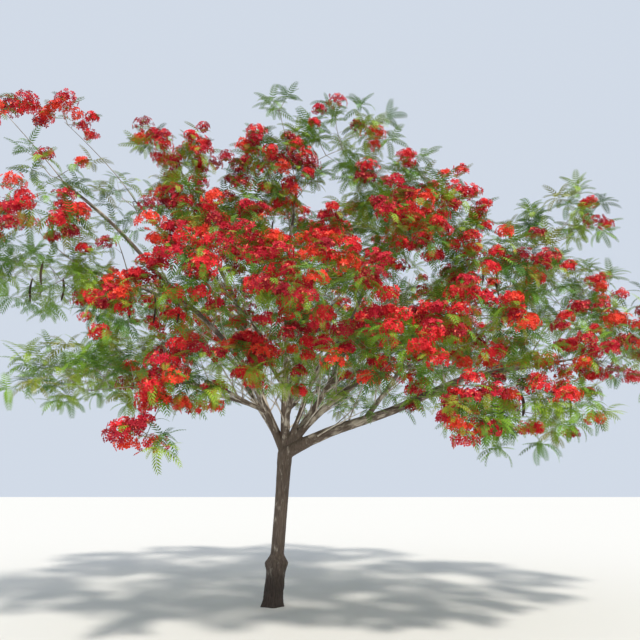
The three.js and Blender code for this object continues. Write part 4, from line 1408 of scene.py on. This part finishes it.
def leaf_sprays(names):
    """Places, ways and shades of all the leaves on these masses."""
    places, ways, shades = [], [], []
    for name in names:
        one = shoots[name]
        under = 1 if name in LEAFLESS_HEADS else LEAVES_PER_HEAD
        full = AIRY_LEAVES_PER_END if name in AIRY_MASSES else LEAVES_PER_END
        count = np.where(one["flowers"], under, full)
        owner = np.repeat(np.arange(len(count)), count)
        rank = np.concatenate([np.arange(n) / n for n in count])
        turn = GOLDEN_ANGLE * np.arange(len(owner)) + fine.uniform(0, 0.5, len(owner))
        lower = np.where(one["flowers"], LOWER_UNDER_HEAD, 0)[owner]
        uneven = fine.uniform(-RISE_UNEVEN, RISE_UNEVEN, len(owner))
        rise = np.radians(YOUNGEST_RISE - lower - RISE_RANGE * rank + uneven)
        level = np.stack([np.cos(turn), np.sin(turn), 0 * turn], -1)
        way = np.cos(rise)[:, None] * level + np.sin(rise)[:, None] * UP
        way = unit(way + OUTWARD_PULL * one["ways"][owner])
        head = np.where(one["flowers"], HEAD_CLEARANCE, 0)[owner]
        back = fine.uniform(0, LEAF_BACK, len(owner)) * rank + head
        places.append(one["ends"][owner] - back[:, None] * one["ways"][owner])
        ways.append(way)
        shades.append(fine.choice(len(GREENS), len(count), p=GREEN_SHARES)[owner])
    return np.concatenate(places), np.concatenate(ways), np.concatenate(shades)


def make_leaves(side):
    """Copies of the leaf patterns at the side's sprays, tilted a little and of uneven sizes."""
    places, ways, shades = leaf_sprays(members[side])
    level = np.cross(UP, ways)
    aside = unit(level + fine.uniform(-LEAF_TILT, LEAF_TILT, len(ways))[:, None] * UP)
    aside = unit(aside - ways * (aside * ways).sum(1, keepdims=True))
    sizes = LEAF_LENGTH * fine.uniform(*LEAF_SIZES, len(ways))
    kinds = fine.integers(0, len(patterns), len(ways))
    parts, faces = [], []
    for kind, pattern in enumerate(patterns):
        pick = kinds == kind
        points, triangles = place_copies(pattern, places[pick], ways[pick], aside[pick], sizes[pick])
        parts.append((points, np.zeros((0, 4), int), triangles))
        faces.append(np.repeat(shades[pick], len(pattern[1])))
    piece = make_piece("leaves_" + side, *join_parts(parts), leaf_greens, np.concatenate(faces), False)
    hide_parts(*("mass_" + name for name in members[side]))


for side in SIDES:
    make_leaves(side)

# %% [markdown]
# ## Blossom
# The flowers crowd into domed heads at the ends of flowering shoots, about thirty to a
# head and right through its depth. A flower has five spoon-shaped petals on narrow claws, each
# about as long as a thumb, in scarlet, crimson or orange-red, and in some flowers one petal
# is paler; the paler petals also stand for glints of light. The darkest red is painted shade,
# dealt to heads at random. Each petal here is three faces in its own outline, and a head takes one red.

# %% The pattern of one flower
PETALS = 5
PETAL_LENGTH = 0.054
PETAL_SIZES = (0.85, 1.2)
FLOWERS_PER_HEAD = 32
HEAD_RADII = (0.13, 0.25)
HEAD_FLATNESS = 0.8
HEAD_UNEVEN = 0.12
HEAD_LEAN = 0.25
FLOWER_TILT = 0.25
DOME_RANGE = 1.35

def flower_pattern():
    """Five petals round +X. In a petal's own plane its outline is a claw, two shoulders and a
    blunt tip, and it rises from the flower's middle and bends out."""
    claw = [0, 0, 0.02]
    shoulders = [0.60, 0.29, 0.30], [0.58, -0.30, 0.28]
    blunt_tip = [1.0, 0.15, 0.20], [1.02, -0.13, 0.24]
    x, y, z = np.array([claw, shoulders[0], *blunt_tip, shoulders[1]]).T
    turn = 2 * math.pi * np.arange(PETALS) / PETALS
    c, s = np.cos(turn)[:, None], np.sin(turn)[:, None]
    points = np.stack([np.broadcast_to(z, (PETALS, len(z))), x * c - y * s, x * s + y * c], -1)
    fan = np.array([[0, 2, 1], [0, 3, 2], [0, 4, 3]])
    triangles = fan[None] + len(z) * np.arange(PETALS)[:, None, None]
    return points.reshape(-1, 3), triangles.reshape(-1, 3)


flower = flower_pattern()
print("a flower has", len(flower[1]), "faces")

# %% Heads of blossom on each side
# The fourth red, the darkest, is painted shade. The fifth, for the paler petal, is partly a painted glint.
REDS = [
    (0.70, 0.018, 0.026),
    (0.53, 0.010, 0.030),
    (0.78, 0.050, 0.022),
    (0.35, 0.008, 0.020),
    (0.82, 0.17, 0.10),
]
RED_SHARES = [0.42, 0.26, 0.18, 0.14]
PALE_PETAL = 4
PALE_SHARE = 0.3
PETAL_FACES = 3
PETAL_ROUGHNESS = 0.55
PETAL_CRINKLE = 0.4
PETAL_GRAIN = 90
petal_reds = [
    plain_material(f"petal_red_{i + 1}", colour, PETAL_ROUGHNESS, PETAL_CRINKLE, PETAL_GRAIN)
    for i, colour in enumerate(REDS)
]

def dome_ways(count):
    """Directions over the upper two thirds of a ball, evenly spread by the golden angle."""
    lift = 1 - DOME_RANGE * (np.arange(count) + 0.5) / count
    turn = GOLDEN_ANGLE * np.arange(count)
    level = np.sqrt(1 - lift * lift)
    return np.stack([level * np.cos(turn), level * np.sin(turn), lift], -1)


def make_blossom(side):
    """Flowers at head's end + radius · depth · way, facing out, with one red for each head and a
    paler petal in some flowers."""
    ends = np.concatenate([shoots[name]["ends"][shoots[name]["flowers"]] for name in members[side]])
    ways = np.concatenate([shoots[name]["ways"][shoots[name]["flowers"]] for name in members[side]])
    heads = len(ends)
    dome = dome_ways(FLOWERS_PER_HEAD)
    radius = fine.uniform(*HEAD_RADII, heads)
    uneven = fine.normal(0, HEAD_UNEVEN, (heads, FLOWERS_PER_HEAD, 3))
    out = unit(dome[None] + uneven + HEAD_LEAN * ways[:, None])
    stretch = np.array([1, 1, HEAD_FLATNESS])
    depth = fine.uniform(0.06, 1.2, (heads, FLOWERS_PER_HEAD, 1)) ** 0.45
    centres = ends[:, None] + radius[:, None, None] * depth * out * stretch
    ahead = unit(out + fine.normal(0, FLOWER_TILT, out.shape)).reshape(-1, 3)
    spin = fine.normal(0, 1, ahead.shape)
    aside = unit(spin - ahead * (spin * ahead).sum(1, keepdims=True))
    sizes = PETAL_LENGTH * fine.uniform(*PETAL_SIZES, len(ahead))
    points, triangles = place_copies(flower, centres.reshape(-1, 3), ahead, aside, sizes)
    reds = fine.choice(len(RED_SHARES), heads, p=RED_SHARES)
    shades = np.repeat(reds, FLOWERS_PER_HEAD * PETALS * PETAL_FACES).reshape(-1, PETALS * PETAL_FACES)
    # Some flowers get the paler petal, partly a painted glint of light.
    pale = fine.random(len(shades)) < PALE_SHARE
    shades[pale, :PETAL_FACES] = PALE_PETAL
    piece = make_piece("blossom_" + side, points, (), triangles, petal_reds, shades.ravel(), False)
    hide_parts(*("mass_" + name for name in members[side]))


for side in SIDES:
    make_blossom(side)

# %% [markdown]
# ## Pods
# Last year's pods still hang in the crown: flat, woody straps as long as a forearm, nearly
# black, with a row of seeds that shows as faint swellings. They could be cut from a sheet
# with a Solidify modifier, but a ring carried along a slightly curved line gives the flat
# section, the pointed ends and the swellings in one formula. The first pod of a mass hangs
# where the solid one does, from the middle of its first twig, and two more hang near it.

# %% Pods
POD_LENGTH = 0.52
POD_WIDTH = 0.058
POD_THICKNESS = 0.016
POD_RINGS = 40
POD_SIDES = 10
PODS_PER_CLUSTER = 3
SEEDS_PER_POD = 16
SEED_SWELLING = 0.25
POD_BOW = 0.07
SOLID_POD_SHARE = 0.96
POD_LIFT = 0.006
POD_DARK = (0.035, 0.022, 0.016)
POD_LIGHT = (0.10, 0.062, 0.042)

def pod_surfaces(roots, headings, lengths):
    """Half width W/2 · sin(πt)^0.3 and half thickness T/2 · sin(πt)^0.5 · (1 + swelling · sin² of
    each seed), t being the share of the way down. The line hangs down and bows sideways."""
    t = np.linspace(0.004, 0.996, POD_RINGS)
    angle = 2 * math.pi * np.arange(POD_SIDES) / POD_SIDES
    wide = np.stack([np.cos(headings), np.sin(headings), 0 * headings], -1)
    thick = np.stack([-np.sin(headings), np.cos(headings), 0 * headings], -1)
    bow = POD_BOW * np.sin(math.pi * t)[:, None] * wide[:, None]
    lines = roots[:, None] + lengths[:, None, None] * (bow - t[:, None] * UP)
    half_width = POD_WIDTH / 2 * np.sin(math.pi * t) ** 0.3
    seeds = 1 + SEED_SWELLING * np.sin(math.pi * SEEDS_PER_POD * t) ** 2
    half_thickness = POD_THICKNESS / 2 * np.sin(math.pi * t) ** 0.5 * seeds
    across = half_width[:, None, None] * np.cos(angle)[:, None] * wide[:, None, None]
    through = half_thickness[:, None, None] * np.sin(angle)[:, None] * thick[:, None, None]
    return lines, lines[:, :, None] + across + through


def make_pods():
    """Three pods in each mass that has them, hung from the middles of its first three twigs."""
    roots = []
    for name, row in MASSES.items():
        if row["pods"]:
            twigs = shoots[name]["twig_lines"]
            roots += [twigs[0, 3], twigs[1, 4] + POD_LIFT * UP, twigs[2, 4] + POD_LIFT * UP]
    roots = np.array(roots)
    solid_one = np.arange(len(roots)) % PODS_PER_CLUSTER == 0
    lengths = POD_LENGTH * np.where(solid_one, SOLID_POD_SHARE, fine.uniform(0.7, 1, len(roots)))
    lines, surfaces = pod_surfaces(roots, fine.uniform(0, 2 * math.pi, len(roots)), lengths)
    rings = np.linspace(0, 1, POD_RINGS)[None] * np.ones((len(roots), 1))
    _, quads, triangles = tubes(lines, rings, POD_SIDES)
    points = np.concatenate([surfaces.reshape(len(roots), -1, 3), lines[:, :1], lines[:, -1:]], axis=1)
    pod_brown = wood_material("pod_brown", POD_DARK, POD_LIGHT)
    piece = make_piece("pods", points.reshape(-1, 3), quads[:, ::-1], triangles[:, ::-1], [pod_brown])
    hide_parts(*("mass_" + name for name, row in MASSES.items() if row["pods"]))


make_pods()
